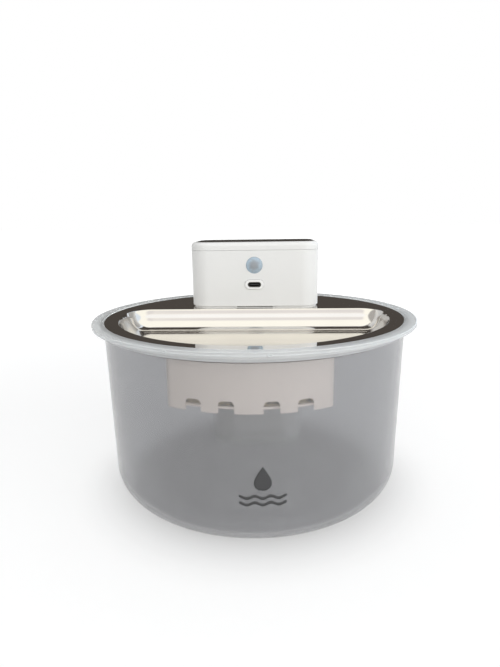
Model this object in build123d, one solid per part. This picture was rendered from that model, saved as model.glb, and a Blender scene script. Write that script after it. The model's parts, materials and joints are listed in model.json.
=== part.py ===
from build123d import *
import math
import os

# Cordless pet water fountain. Millimetres, +Z up, origin at the middle of the tank's underside,
# the drinking basin faces -Y and the head unit stands at +Y.

# ---- general ----
TOUCH = 0.02            # squeeze of a press fit
SLIP = 0.15             # clearance between pieces that are fitted once
LOOSE = 0.5             # clearance between pieces that are lifted in and out

# ---- tank ----
TANK_HEIGHT = 114.3
TANK_WALL = 2.2
TANK_FLOOR = 2.5
WALL_TOP_R = 97.7       # outer radius of the wall under the collar
WALL_FOOT_R = 94.9      # outer radius of the wall, prolonged to the ground
FOOT_FILLET = 19.0
RIM_LIP = 2.5           # height of the rim's edge
RIM_OVERHANG = 5.2
COLLAR_WALL = 2.0
COLLAR_RISE = 2.1       # height of the collar under the rim, and of the slope below it
SEAT_STEP = 2.3         # width of the ledge that carries the tray
SEAT_DEPTH = 1.3        # depth of the ledge below the rim

# ---- tray and basin ----
SHEET = 0.8
RING_WIDTH = 8.5        # flat ring in front of the basin
BASIN_BACK_Y = 20.3
BASIN_CORNER = 16.0
BASIN_DEPTH = 13.3
BASIN_SLOPE = 20.6      # degrees from upright
BASIN_FLOOR_FILLET = 7.0
BASIN_LIP_FILLET = 1.5
SUMP_Y = -63.0
SUMP_LENGTH = 56.0
SUMP_WIDTH = 16.0
SUMP_DEPTH = 4.2
SUMP_SLOTS = 8
SUMP_SLOT_WIDTH = 2.4
SUMP_SLOT_LENGTH = 9.0
SUMP_SLOT_PITCH = 5.6
OPENING_LENGTH = 74.0   # stadium opening for the head unit's collar
OPENING_WIDTH = 40.0

# ---- head unit ----
HEAD_WIDTH = 92.0
HEAD_DEPTH = 55.0
HEAD_CORNER = 13.0
HEAD_STRIP = 3.0        # ring between the basin and the head unit
HEAD_HEIGHT = 46.8      # above the tray
HOUSING_WALL = 2.2
HOUSING_FOOT_FILLET = 0.7
PLINTH_HEIGHT = 1.0
PLINTH_INSET = 1.2
CAP_HEIGHT = 5.8
CAP_FILLET = 3.0
CAP_SEAM = 0.15
CAP_SKIRT = 3.5
CAP_SKIRT_WALL = 1.5
CAP_PLATE = 1.7
PANEL_MARGIN = 3.2
PANEL_THICKNESS = 1.6
PANEL_SINK = 0.1
BASE_PLUG = 3.4         # height of the base inside the housing
BASE_FLOOR = 7.8        # thickness of the base, water channel included
COLLAR_GAP = 0.5
COLLAR_DEPTH = 9.8      # reach of the base's collar below the tray
COLLAR_SHELL = 2.0
GASKET_HEIGHT = 1.4
GASKET_DEPTH = 1.2

# ---- front of the head unit ----
LENS_HEIGHT = 30.6      # lens axis above the tray
LENS_R = 5.75
LENS_FLANGE = 1.05
LENS_SKIN = 0.8
LENS_PROUD = 1.7
SENSOR_R = 4.1
SENSOR_FLANGE_R = 4.6
SENSOR_LENGTH = 4.2
SENSOR_WINDOW = 0.4     # depth of the sensor's window
SOCKET_HEIGHT = 16.9    # charging socket axis above the tray
BEZEL_LENGTH = 13.6
BEZEL_WIDTH = 6.8
BEZEL_PROUD = 0.8
BEZEL_FLANGE = 1.0
SOCKET_SLOT_LENGTH = 9.5
SOCKET_SLOT_WIDTH = 3.8
SHELL_LENGTH = 8.94
SHELL_WIDTH = 3.26
SHELL_SKIN = 0.3
SHELL_SINK = 0.3
BOARD_SINK = 7.6        # board face behind the head unit's front
BOARD_THICKNESS = 1.6
BOARD_MARGIN = 4.0      # board beyond the pump's plug
BOARD_HEIGHT = 25.0
BOARD_FOOT = 11.7       # board's lower edge above the tray
RAIL_WIDTH = 3.0
RAIL_BACK = 1.5
GROOVE_DEPTH = 1.0
PUMP_PLUG_WIDTH = 8.0
PUMP_PLUG_DEPTH = 4.2
PUMP_PLUG_HEIGHT = 6.0
CHIPS = [               # x, height on the board, side and thickness of each chip
    (11.5, 6.5, 5.0, 1.0),
    (13.5, 16.5, 7.0, 1.2),
    (-14.0, 19.5, 5.0, 2.5),
]

# ---- batteries ----
CELL_R = 9.15
CELL_LENGTH = 65.0
CELL_GAP = 0.5
CELL_EDGE = 0.6
CELL_SHIFT_Y = 2.8      # cells' centre behind the head unit's centre
CRADLE_RISE = 6.4       # wiring space between base and cradle
CRADLE_PLATE = 1.2
SADDLE_HEIGHT = 5.4
CRADLE_LEG_R = 2.5
CRADLE_LEG_X = 26.0
CRADLE_LEG_Y = 13.0
TAB_THICKNESS = 0.2
TAB_WIDTH = 6.0
BATTERY_LEAD_R = 0.6
BATTERY_LEAD_RUN = 4.5  # straight run into the plug
BATTERY_PLUG_DEPTH = 5.2
BATTERY_PLUG_WIDTH = 7.0
BATTERY_PLUG_MARGIN = 4.5       # board beyond each plug
BATTERY_PLUG_Z = (-5.8, -1.4)   # below the board's top

# ---- button and lights ----
BUTTON_R = 7.0
BUTTON_HEAD = 1.0
BUTTON_STEM_R = 4.5
BUTTON_GAP = 0.3
BUTTON_TRAVEL = 0.6
PLUNGER_R = 1.75
PLUNGER_LENGTH = 2.2
PLUNGER_GAP = 0.08
SWITCH_SIDE = 6.0
SWITCH_HEIGHT = 3.4
BUTTON_BOARD_WIDTH = 34.0
BUTTON_BOARD_DEPTH = 26.0
BUTTON_BOARD_Y = -3.0   # from the head unit's centre
POST_X = 14.0
POST_R = 2.4
POST_HEIGHT = 5.8
SMALL_SCREW_R = 1.0
SMALL_HEAD_R = 1.9
SMALL_HEAD = 1.3
SMALL_GRIP = 4.4
DRIVER_SLOT = 0.6
LIGHT_R = 1.0
LIGHT_PITCH = 5.0
LIGHT_Y = -13.0
LIGHT_FLANGE = 0.8
LED_HEIGHT = 0.8
LED_WIDTH = 1.6
PANEL_EDGE = 0.3        # rounding of the panel's and the button's edges

# ---- housing screws ----
BOSS_R = 3.3
BOSS_INSET = 7.4        # screw axes inside the head unit's sides
BOSS_HEIGHT = 12.0
SCREW_R = 1.3
SCREW_HEAD_R = 2.4
SCREW_HEAD = 1.4
SCREW_GRIP = 8.0

# ---- column ----
COLUMN_WALL = 1.8
COLUMN_FLOOR_GAP = 2.5  # between the strainer and the tank's floor
STRAINER_PLATE = 4.0
STRAINER_EDGE = 1.5
COLUMN_TOP_PLATE = 2.0
COLUMN_SOCKET = 5.8     # reach of the column inside the base's collar
COLUMN_SLOTS = 9
COLUMN_SLOT_WIDTH = 2.4
COLUMN_SLOT_HEIGHT = 3.2
COLUMN_SLOT_PITCH = 5.0
COLUMN_SCREW_X = 27.0
SKIRT_HEIGHT = 5.0
SKIRT_WALL = 1.5
SPONGE_THICKNESS = 4.4

# ---- pump ----
PUMP_R = 14.6
PUMP_END_GAP = 3.95     # between the pump and the column's wall
PUMP_WALL = 1.3
PUMP_COVER = 2.0
SPIDER_ARM = 1.2
PUMP_INLET_R = 4.6
VOLUTE_R = 11.6
VOLUTE_HEIGHT = 6.0
VOLUTE_ROOF = 1.4
WELL_R = 6.3
WELL_WALL = 1.1
WELL_DEPTH = 20.0
STATOR_CAP = 1.6
WINDING_SPACE = 22.0
SHAFT_R = 1.2
SHAFT_GAP = 0.06
SEAT_R = 2.6
SEAT_LENGTH = 2.4
SEAT_WALL = 1.0
IMPELLER_R = 9.6
IMPELLER_SHROUD = 1.0
IMPELLER_VANES = 6
VANE_HEIGHT = 2.8
VANE_THICKNESS = 1.0
RUNNING_GAP = 0.6
STEM_R = 2.9
MAGNET_R = 5.5
MAGNET_LENGTH = 15.0
MAGNET_RISE = 3.0       # magnet above the impeller's shroud
CORE_R = 13.1
CORE_RING = 1.6
CORE_LENGTH = 12.0
TEETH = 6
TOOTH_WIDTH = 2.4
COIL_LENGTH = 2.9
COIL_BUILD = 1.3
TUBE_PITCH = 30.0       # from the pump's axis to the tube's
TUBE_Y = 6.5            # from the head unit's centre
NOZZLE_R = 4.2
NOZZLE_BORE = 2.7
NOZZLE_RISE = 16.0
DUCT_INSET = 0.4
TUBE_WALL = 1.2
TUBE_OVERLAP = 8.0
NIPPLE_LENGTH = 12.0

# ---- water channel and spout ----
CHANNEL_HEIGHT = 2.4
SPOUT_WIDTH = 30.0
SPOUT_MOUTH = 26.0
SPOUT_DEPTH = 5.0
SPOUT_FLOOR = 0.3

# ---- pump cable ----
LEAD_R = 0.9
LEAD_BEND = 5.5
LEAD_Y = -8.8           # from the head unit's centre
LEAD_RISE = 8.3         # height of the crossing above the tray
LEAD_PLUG = 14.2        # height of the plug's underside above the tray
LEAD_HOLE = 0.4
GROMMET_R = 2.6
GROMMET_LENGTH = 3.0

# ---- filter ----
FILTER_GAP = 4.2        # between the front face, concentric with the tank, and the tank's wall
FILTER_HALF_WIDTH = 44.8
FILTER_BACK_Y = -44.0
FILTER_CORNER = 5.0
FILTER_WALL = 1.8
FILTER_HEIGHT = 22.0
FILTER_TOP_GAP = 0.5    # between the box and the underside of the basin
FILTER_APRON = 5.3      # front wall above the box
FILTER_FLOOR_RISE = 2.0
FILTER_FLOOR = 1.2
NOTCH_WIDTH = 8.6
NOTCH_HEIGHT = 6.8
NOTCH_FILLET = 2.6
NOTCH_X = (-29.6, -11.9, 11.9, 29.6)
LID = 2.0
SEAL_WALL = 2.2
SEAL_LIP = 1.0
SEAL_GAP = 0.05         # sliding fit of the seal on the sump
COTTON = 3.4
FLOOR_SLOTS = 9
FLOOR_SLOT_PITCH = 8.0

# ---- places worked out from the sizes above ----
SEAT_Z = TANK_HEIGHT - SEAT_DEPTH
TRAY_TOP = SEAT_Z + SHEET
TANK_SEAT_R = WALL_TOP_R - TANK_WALL + SEAT_STEP
COLLAR_R = TANK_SEAT_R + COLLAR_WALL
RIM_R = COLLAR_R + RIM_OVERHANG
TRAY_R = TANK_SEAT_R - LOOSE
BASIN_R = TRAY_R - RING_WIDTH
BASIN_FLOOR_Z = TRAY_TOP - BASIN_DEPTH
BASIN_UNDER_Z = BASIN_FLOOR_Z - SHEET
HEAD_FRONT = BASIN_BACK_Y + HEAD_STRIP
HEAD_Y = HEAD_FRONT + HEAD_DEPTH / 2
HEAD_TOP = TRAY_TOP + HEAD_HEIGHT
HOUSING_FOOT = TRAY_TOP + PLINTH_HEIGHT
HOUSING_TOP = HEAD_TOP - CAP_HEIGHT
CAP_FOOT = HOUSING_TOP + CAP_SEAM
PANEL_Z = HEAD_TOP - PANEL_SINK - PANEL_THICKNESS
CAP_UNDER = PANEL_Z - CAP_PLATE
BASE_TOP = HOUSING_FOOT + BASE_PLUG
BASE_UNDER = BASE_TOP - BASE_FLOOR
BASE_COLLAR_FOOT = TRAY_TOP - COLLAR_DEPTH
COLUMN_TOP = BASE_COLLAR_FOOT + COLUMN_SOCKET
COLUMN_LENGTH = OPENING_LENGTH - 2 * COLLAR_GAP - 2 * COLLAR_SHELL - 2 * SLIP
COLUMN_WIDTH = OPENING_WIDTH - 2 * COLLAR_GAP - 2 * COLLAR_SHELL - 2 * SLIP
STRAINER_FOOT = TANK_FLOOR + COLUMN_FLOOR_GAP
COLUMN_FOOT = STRAINER_FOOT + STRAINER_PLATE
COVER_Z = COLUMN_FOOT + SKIRT_HEIGHT
VOLUTE_Z = COVER_Z + PUMP_COVER
VOLUTE_TOP = VOLUTE_Z + VOLUTE_HEIGHT
WELL_TOP = VOLUTE_TOP + WELL_DEPTH
WINDING_Z = VOLUTE_TOP + VOLUTE_ROOF
PUMP_TOP = WINDING_Z + WINDING_SPACE
CORE_Z = WINDING_Z + COIL_BUILD + LOOSE
PUMP_X = PUMP_R + PUMP_END_GAP + COLUMN_WALL - COLUMN_LENGTH / 2
PUMP_Y = HEAD_Y
TUBE_X = PUMP_X + TUBE_PITCH
NOZZLE_Y = HEAD_Y + TUBE_Y
NOZZLE_TOP = VOLUTE_TOP + NOZZLE_RISE
NIPPLE_FOOT = BASE_UNDER - NIPPLE_LENGTH
BOSS_X = HEAD_WIDTH / 2 - BOSS_INSET
BOSS_Y = HEAD_DEPTH / 2 - BOSS_INSET
BOARD_WIDTH = 2 * (abs(PUMP_X) + PUMP_PLUG_WIDTH / 2 + BOARD_MARGIN)
BATTERY_PLUG_END = BOARD_WIDTH / 2 - BATTERY_PLUG_MARGIN
BOARD_FRONT = HEAD_FRONT + BOARD_SINK
BOARD_Z = TRAY_TOP + BOARD_FOOT
BOARD_TOP = BOARD_Z + BOARD_HEIGHT
CRADLE_Z = BASE_TOP + CRADLE_RISE
CELL_Z = CRADLE_Z + CRADLE_PLATE + CELL_R + SLIP
CELLS_Y = HEAD_Y + CELL_SHIFT_Y
CELL_OFFSET = CELL_R + CELL_GAP / 2
BUTTON_BOARD_TOP = CAP_UNDER - POST_HEIGHT
SWITCH_TOP = BUTTON_BOARD_TOP + SWITCH_HEIGHT
BUTTON_TOP = HEAD_TOP - PANEL_SINK
BUTTON_UNDER = BUTTON_TOP - BUTTON_HEAD
STEM_FOOT = SWITCH_TOP - BUTTON_TRAVEL + PLUNGER_LENGTH
CHANNEL_Z = TRAY_TOP + SPOUT_FLOOR
SHAFT_FOOT = COVER_Z + SEAT_WALL
SHAFT_TOP = WELL_TOP + SEAT_LENGTH
BOX_TOP = BASIN_UNDER_Z - FILTER_TOP_GAP
FILTER_R = WALL_FOOT_R - TANK_WALL - FILTER_GAP
FILTER_FOOT_Z = BOX_TOP - FILTER_HEIGHT
FILTER_FLOOR_Z = FILTER_FOOT_Z + FILTER_FLOOR_RISE
COTTON_TOP = BASIN_UNDER_Z - SUMP_DEPTH - LOOSE
CORNERS = [(1, 1), (1, -1), (-1, 1), (-1, -1)]


# ---- helpers ----
def prism(plan, low, high):
    """A plan outline raised from one height to another."""
    return Pos(0, 0, low) * extrude(plan, high - low)


def disc(x, y, radius):
    return Pos(x, y) * Circle(radius)


def rod(x, y, radius, low, high):
    """An upright cylinder."""
    return prism(disc(x, y, radius), low, high)


def pipe(x, y, radius, bore, low, high):
    return rod(x, y, radius, low, high) - rod(x, y, bore, low, high)


def turned(*points, radii):
    """A turned solid about Z from (radius, height) points with rounded corners."""
    outline = FilletPolyline(*points, radius=list(radii), close=True)
    return revolve(Plane.XZ * make_face(outline), Axis.Z)


def head_plan(inset=0.0):
    """Plan outline of the head unit, shrunk by an inset."""
    width = HEAD_WIDTH - 2 * inset
    depth = HEAD_DEPTH - 2 * inset
    return Pos(0, HEAD_Y) * RectangleRounded(width, depth, HEAD_CORNER - inset)


def stadium(length, width, inset=0.0):
    """Stadium outline at the head unit's centre, shrunk by an inset."""
    return Pos(0, HEAD_Y) * SlotOverall(length - 2 * inset, width - 2 * inset)


def front(height):
    """Frame on the head unit's front: local x right, y up, z outwards."""
    return Pos(0, HEAD_FRONT, TRAY_TOP + height) * Rot(90, 0, 0)


def block(x, y, z, low_z, high_z):
    """A box from ranges in x and y and two heights; z shifts both heights."""
    plan = Pos((x[0] + x[1]) / 2, (y[0] + y[1]) / 2) * Rectangle(x[1] - x[0], y[1] - y[0])
    return prism(plan, z + low_z, z + high_z)


def screw(x, y, seat_z, grip, radius, head_r, head):
    """A pan-head screw driven upwards; its head hangs under seat_z."""
    body = rod(x, y, head_r, seat_z - head, seat_z) + rod(x, y, radius, seat_z, seat_z + grip)
    half = DRIVER_SLOT / 2
    slot = block((x - head_r, x + head_r), (y - half, y + half), seat_z - head, 0, head / 2)
    return body - slot


def small_screw(x, seat_z):
    return screw(x, HEAD_Y, seat_z, SMALL_GRIP, SMALL_SCREW_R, SMALL_HEAD_R, SMALL_HEAD)


# ---- tank ----
def make_tank():
    slope = (WALL_TOP_R - WALL_FOOT_R) / TANK_HEIGHT
    rim_under = TANK_HEIGHT - RIM_LIP
    collar_foot = rim_under - COLLAR_RISE
    slope_foot = collar_foot - COLLAR_RISE
    inner_foot = WALL_FOOT_R - TANK_WALL + slope * TANK_FLOOR
    shell = turned(
        (0, 0),
        (WALL_FOOT_R, 0),
        (WALL_FOOT_R + slope * slope_foot, slope_foot),
        (COLLAR_R, collar_foot),
        (COLLAR_R, rim_under),
        (RIM_R, rim_under),
        (RIM_R, TANK_HEIGHT),
        (TANK_SEAT_R, TANK_HEIGHT),
        (TANK_SEAT_R, SEAT_Z),
        (TANK_SEAT_R - SEAT_STEP, SEAT_Z),
        (inner_foot, TANK_FLOOR),
        (0, TANK_FLOOR),
        radii=(0, FOOT_FILLET, 1.5, 0.6, 0.4, 0.7, 0.9, 0.4, 0, 0.4, FOOT_FILLET - TANK_WALL, 0),
    )
    return shell


# ---- tray ----
def basin_plan(offset=0.0):
    """D-shaped outline of the basin at the tray's top, grown by an offset."""
    radius = BASIN_R + offset
    back = BASIN_BACK_Y + offset
    cut = Pos(0, back - 2 * radius) * Rectangle(4 * radius, 4 * radius)
    outline = Circle(radius) & cut
    corners = outline.vertices().sort_by(Axis.Y)[-2:]
    return fillet(corners, BASIN_CORNER + offset)


def basin_plug(offset=0.0):
    """The basin's hollow, or its outside when grown by the sheet."""
    depth = BASIN_DEPTH + offset
    plug = extrude(basin_plan(offset), -depth, taper=BASIN_SLOPE)
    floor_edges = plug.faces().sort_by(Axis.Z)[0].edges()
    plug = fillet(floor_edges, BASIN_FLOOR_FILLET + offset)
    return Pos(0, 0, TRAY_TOP) * plug


def sump_plan(inset=0.0):
    return Pos(0, SUMP_Y) * SlotOverall(SUMP_LENGTH - 2 * inset, SUMP_WIDTH - 2 * inset)


def make_drinking_tray():
    ring = rod(0, 0, TRAY_R, TRAY_TOP - SHEET, TRAY_TOP)
    ring = fillet(ring.edges(), SHEET * 0.4)
    tray = ring + basin_plug(SHEET)
    tray = tray + prism(sump_plan(), BASIN_UNDER_Z - SUMP_DEPTH, BASIN_FLOOR_Z)
    tray = tray - basin_plug()
    tray = tray - prism(sump_plan(SHEET), BASIN_FLOOR_Z - SUMP_DEPTH, BASIN_FLOOR_Z)
    lip = tray.faces().filter_by(Axis.Z).sort_by(Axis.Z)[-1].inner_wires().sort_by(Axis.X)[0]
    tray = fillet(lip.edges(), BASIN_LIP_FILLET)
    tray = tray - prism(stadium(OPENING_LENGTH, OPENING_WIDTH), SEAT_Z - SHEET, TRAY_TOP)
    for number in range(SUMP_SLOTS):
        x = (number - (SUMP_SLOTS - 1) / 2) * SUMP_SLOT_PITCH
        slot = Pos(x, SUMP_Y) * Rot(0, 0, 90) * SlotOverall(SUMP_SLOT_LENGTH, SUMP_SLOT_WIDTH)
        tray = tray - prism(slot, BASIN_UNDER_Z - SUMP_DEPTH - SHEET, BASIN_FLOOR_Z)
    return tray


# ---- filter ----
def filter_plan(inset=0.0):
    """Plan outline of the filter box: a curved front and a straight back."""
    half = FILTER_HALF_WIDTH - inset
    radius = FILTER_R - inset
    back = FILTER_BACK_Y - inset
    box = Pos(0, back - radius) * Rectangle(2 * half, 2 * radius)
    outline = Circle(radius) & box
    return fillet(outline.vertices(), max(FILTER_CORNER - inset, 1.0))


def notch(x):
    """A slot through the front wall, open below, with rounded upper corners."""
    outline = Rectangle(NOTCH_WIDTH, 2 * NOTCH_HEIGHT)
    outline = fillet(outline.vertices().sort_by(Axis.Y)[-2:], NOTCH_FILLET)
    y = -math.sqrt(FILTER_R**2 - x**2)
    cut = Pos(x, y - FILTER_WALL, FILTER_FOOT_Z) * Rot(90, 0, 0) * outline
    return extrude(cut, -4 * FILTER_WALL)


def make_filter_box():
    box = prism(filter_plan(), FILTER_FOOT_Z, BOX_TOP)
    apron = prism(filter_plan() - Circle(FILTER_R - FILTER_WALL), BOX_TOP, BOX_TOP + FILTER_APRON)
    box = box + apron
    box = box - prism(filter_plan(FILTER_WALL), FILTER_FLOOR_Z + FILTER_FLOOR, BOX_TOP)
    box = box - prism(filter_plan(FILTER_WALL), FILTER_FOOT_Z, FILTER_FLOOR_Z)
    for x in NOTCH_X:
        wall = notch(x) - prism(filter_plan(FILTER_WALL), FILTER_FLOOR_Z, FILTER_FLOOR_Z + FILTER_FLOOR)
        box = box - wall
    slot_y = (FILTER_BACK_Y - FILTER_R) / 2
    for number in range(FLOOR_SLOTS):
        x = (number - (FLOOR_SLOTS - 1) / 2) * FLOOR_SLOT_PITCH
        slot = Pos(x, slot_y) * Rot(0, 0, 90) * SlotOverall(-slot_y / 3, SUMP_SLOT_WIDTH)
        box = box - prism(slot, FILTER_FLOOR_Z, FILTER_FLOOR_Z + FILTER_FLOOR)
    return box


def make_filter_box_lid():
    lid = prism(filter_plan(FILTER_WALL + SLIP), BOX_TOP - LID, BOX_TOP)
    return lid - prism(sump_plan(-SEAL_WALL), BOX_TOP - LID, BOX_TOP)


def make_filter_seal():
    foot = BASIN_UNDER_Z - SUMP_DEPTH
    seal = prism(sump_plan(-SEAL_WALL), foot, BASIN_UNDER_Z)
    seal = seal + prism(sump_plan(-SEAL_WALL - SEAL_LIP), foot, BOX_TOP - LID)
    return seal - prism(sump_plan(-SEAL_GAP), foot, BASIN_UNDER_Z)


def filter_layer(low, high):
    return prism(filter_plan(FILTER_WALL + LOOSE), low, high)


def make_filter_media():
    return filter_layer(FILTER_FLOOR_Z + FILTER_FLOOR, COTTON_TOP - COTTON)


def make_filter_cotton():
    return filter_layer(COTTON_TOP - COTTON, COTTON_TOP)


# ---- head unit: shells ----
def make_head_housing():
    body = prism(head_plan(), HOUSING_FOOT, HOUSING_TOP)
    foot_edges = body.faces().sort_by(Axis.Z)[0].edges()
    body = fillet(foot_edges, HOUSING_FOOT_FILLET)
    inside = prism(head_plan(HOUSING_WALL), HOUSING_FOOT, HOUSING_TOP)
    body = body - inside
    for side_x, side_y in CORNERS:
        x, y = side_x * BOSS_X, HEAD_Y + side_y * BOSS_Y
        boss = rod(x, y, BOSS_R, BASE_TOP, BASE_TOP + BOSS_HEIGHT) & inside
        body = body + boss - rod(x, y, SCREW_R + TOUCH, BASE_TOP, BASE_TOP + BOSS_HEIGHT)
    for side in (1, -1):
        body = body + board_rail(side)
    body = body - front(LENS_HEIGHT) * prism(Circle(LENS_R + SLIP), -HOUSING_WALL, 0)
    bezel_hole = SlotOverall(BEZEL_LENGTH + 2 * SLIP, BEZEL_WIDTH + 2 * SLIP)
    return body - front(SOCKET_HEIGHT) * prism(bezel_hole, -HOUSING_WALL, 0)


def board_rail(side):
    """An upright rail on the front wall with a groove for the main board's edge."""
    outer = BOARD_WIDTH / 2 - GROOVE_DEPTH + RAIL_WIDTH
    inner = BOARD_WIDTH / 2 - GROOVE_DEPTH
    back = BOARD_FRONT + BOARD_THICKNESS + SLIP + RAIL_BACK
    wall_y = HEAD_FRONT + HOUSING_WALL / 2
    top = CAP_FOOT - CAP_SKIRT - 2 * LOOSE
    x_range = sorted((side * inner, side * outer))
    rail = block(x_range, (wall_y, back), 0, BASE_TOP + LOOSE, top)
    groove_x = sorted((side * inner, side * (BOARD_WIDTH / 2 + SLIP)))
    groove_y = (BOARD_FRONT - SLIP, BOARD_FRONT + BOARD_THICKNESS + SLIP)
    return rail - block(groove_x, groove_y, 0, BOARD_Z, top)


def make_head_cap():
    cap = prism(head_plan(), CAP_FOOT, HEAD_TOP)
    cap = fillet(cap.faces().sort_by(Axis.Z)[-1].edges(), CAP_FILLET)
    cap = cap + prism(head_plan(HOUSING_WALL + SLIP), CAP_FOOT - CAP_SKIRT, CAP_FOOT)
    cap = cap - prism(head_plan(HOUSING_WALL + SLIP + CAP_SKIRT_WALL), CAP_FOOT - CAP_SKIRT, CAP_UNDER)
    cap = cap - prism(head_plan(PANEL_MARGIN), PANEL_Z, HEAD_TOP)
    cap = cap - rod(0, HEAD_Y, BUTTON_STEM_R + BUTTON_GAP, CAP_UNDER, PANEL_Z)
    for side in (1, -1):
        x = side * POST_X
        cap = cap + rod(x, HEAD_Y, POST_R, BUTTON_BOARD_TOP, CAP_UNDER)
        cap = cap - rod(x, HEAD_Y, SMALL_SCREW_R + TOUCH, BUTTON_BOARD_TOP, CAP_UNDER)
    for x in light_places():
        cap = cap - rod(x, HEAD_Y + LIGHT_Y, LIGHT_R + SLIP, CAP_UNDER, PANEL_Z)
    return cap


def make_top_panel():
    panel = prism(head_plan(PANEL_MARGIN + SLIP), PANEL_Z, PANEL_Z + PANEL_THICKNESS)
    panel = fillet(panel.faces().sort_by(Axis.Z)[-1].edges(), PANEL_EDGE)
    panel = panel - rod(0, HEAD_Y, BUTTON_R + BUTTON_GAP, PANEL_Z, HEAD_TOP)
    for x in light_places():
        panel = panel - rod(x, HEAD_Y + LIGHT_Y, LIGHT_R + SLIP, PANEL_Z, HEAD_TOP)
    return panel


def channel_plan():
    """The water channel fans out from the tube's nipple to the spout."""
    spout_back = HEAD_FRONT + PLINTH_INSET + SPOUT_DEPTH
    half = NOZZLE_BORE - DUCT_INSET
    fan = Polygon(
        (TUBE_X - half, NOZZLE_Y),
        (TUBE_X + half, NOZZLE_Y),
        (SPOUT_MOUTH / 2, spout_back),
        (-SPOUT_MOUTH / 2, spout_back),
        align=None,
    )
    return fan + disc(TUBE_X, NOZZLE_Y, NOZZLE_BORE)


def make_head_base():
    base = prism(head_plan(PLINTH_INSET), TRAY_TOP, HOUSING_FOOT)
    base = base + prism(head_plan(HOUSING_WALL + SLIP), HOUSING_FOOT, BASE_TOP)
    collar = stadium(OPENING_LENGTH, OPENING_WIDTH, COLLAR_GAP)
    collar_inside = stadium(OPENING_LENGTH, OPENING_WIDTH, COLLAR_GAP + COLLAR_SHELL)
    base = base + prism(collar, BASE_COLLAR_FOOT, TRAY_TOP)
    base = base - prism(collar_inside, BASE_COLLAR_FOOT, BASE_UNDER)
    base = base + rod(TUBE_X, NOZZLE_Y, NOZZLE_R, NIPPLE_FOOT, BASE_UNDER)
    base = base - rod(TUBE_X, NOZZLE_Y, NOZZLE_BORE, NIPPLE_FOOT, CHANNEL_Z)
    base = base - prism(channel_plan(), CHANNEL_Z, CHANNEL_Z + CHANNEL_HEIGHT)
    spout_back = HEAD_FRONT + PLINTH_INSET + SPOUT_DEPTH
    half = SPOUT_WIDTH / 2
    base = base - block((-half, half), (HEAD_FRONT, spout_back), 0, TRAY_TOP, HOUSING_FOOT)
    groove = head_plan(HOUSING_WALL + SLIP) - head_plan(HOUSING_WALL + GASKET_DEPTH)
    base = base - prism(groove, gasket_z(), gasket_z() + GASKET_HEIGHT)
    for x, y in housing_screw_places():
        base = base - rod(x, y, SCREW_R + SLIP, TRAY_TOP, BASE_TOP)
        base = base - rod(x, y, SCREW_HEAD_R + SLIP, TRAY_TOP, TRAY_TOP + SCREW_HEAD)
    for side in (1, -1):
        base = base - rod(side * COLUMN_SCREW_X, HEAD_Y, SMALL_SCREW_R + TOUCH, BASE_UNDER, CHANNEL_Z)
    lead_y = HEAD_Y + LEAD_Y
    base = base - rod(PUMP_X, lead_y, LEAD_R + LEAD_HOLE, BASE_UNDER, BASE_TOP)
    return base - rod(PUMP_X, lead_y, GROMMET_R, BASE_UNDER, BASE_UNDER + GROMMET_LENGTH)


def gasket_z():
    return HOUSING_FOOT + (BASE_PLUG - GASKET_HEIGHT) / 2


def make_base_gasket():
    plan = head_plan(HOUSING_WALL - TOUCH) - head_plan(HOUSING_WALL + GASKET_DEPTH)
    return prism(plan, gasket_z(), gasket_z() + GASKET_HEIGHT)


def housing_screw_places():
    return [(side_x * BOSS_X, HEAD_Y + side_y * BOSS_Y) for side_x, side_y in CORNERS]


def make_housing_screws():
    seat = TRAY_TOP + SCREW_HEAD
    return [screw(x, y, seat, SCREW_GRIP, SCREW_R, SCREW_HEAD_R, SCREW_HEAD - SLIP)
            for x, y in housing_screw_places()]


def make_spout():
    """Flat nozzle under the housing's foot: a floor and two cheeks beside a wide low mouth."""
    half = SPOUT_WIDTH / 2 - SLIP
    front_y = HEAD_FRONT + PLINTH_INSET
    back_y = front_y + SPOUT_DEPTH
    body = block((-half, half), (front_y, back_y), 0, TRAY_TOP, HOUSING_FOOT)
    mouth = SPOUT_MOUTH / 2
    return body - block((-mouth, mouth), (front_y, back_y), 0, CHANNEL_Z, HOUSING_FOOT)


# ---- head unit: front ----
def make_pir_lens():
    radius = (LENS_R**2 + LENS_PROUD**2) / (2 * LENS_PROUD)
    dome = Pos(0, 0, LENS_PROUD - radius) * Sphere(radius)
    hollow = Pos(0, 0, LENS_PROUD - radius) * Sphere(radius - LENS_SKIN)
    barrel = prism(Circle(LENS_R), -HOUSING_WALL, LENS_PROUD)
    flange = prism(Circle(LENS_R + LENS_FLANGE), -HOUSING_WALL - LENS_SKIN, -HOUSING_WALL)
    bore = prism(Circle(LENS_R - LENS_SKIN), -HOUSING_WALL - LENS_SKIN, LENS_PROUD)
    lens = (barrel & dome) + flange - (bore & hollow)
    return front(LENS_HEIGHT) * lens


def make_pir_sensor():
    rear = -BOARD_SINK
    can = prism(Circle(SENSOR_FLANGE_R), rear, rear + LENS_SKIN)
    can = can + prism(Circle(SENSOR_R), rear, rear + SENSOR_LENGTH)
    face = rear + SENSOR_LENGTH
    window = prism(Rectangle(SENSOR_R, SENSOR_R * 0.75), face - SENSOR_WINDOW, face)
    return front(LENS_HEIGHT) * (can - window)


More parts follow.
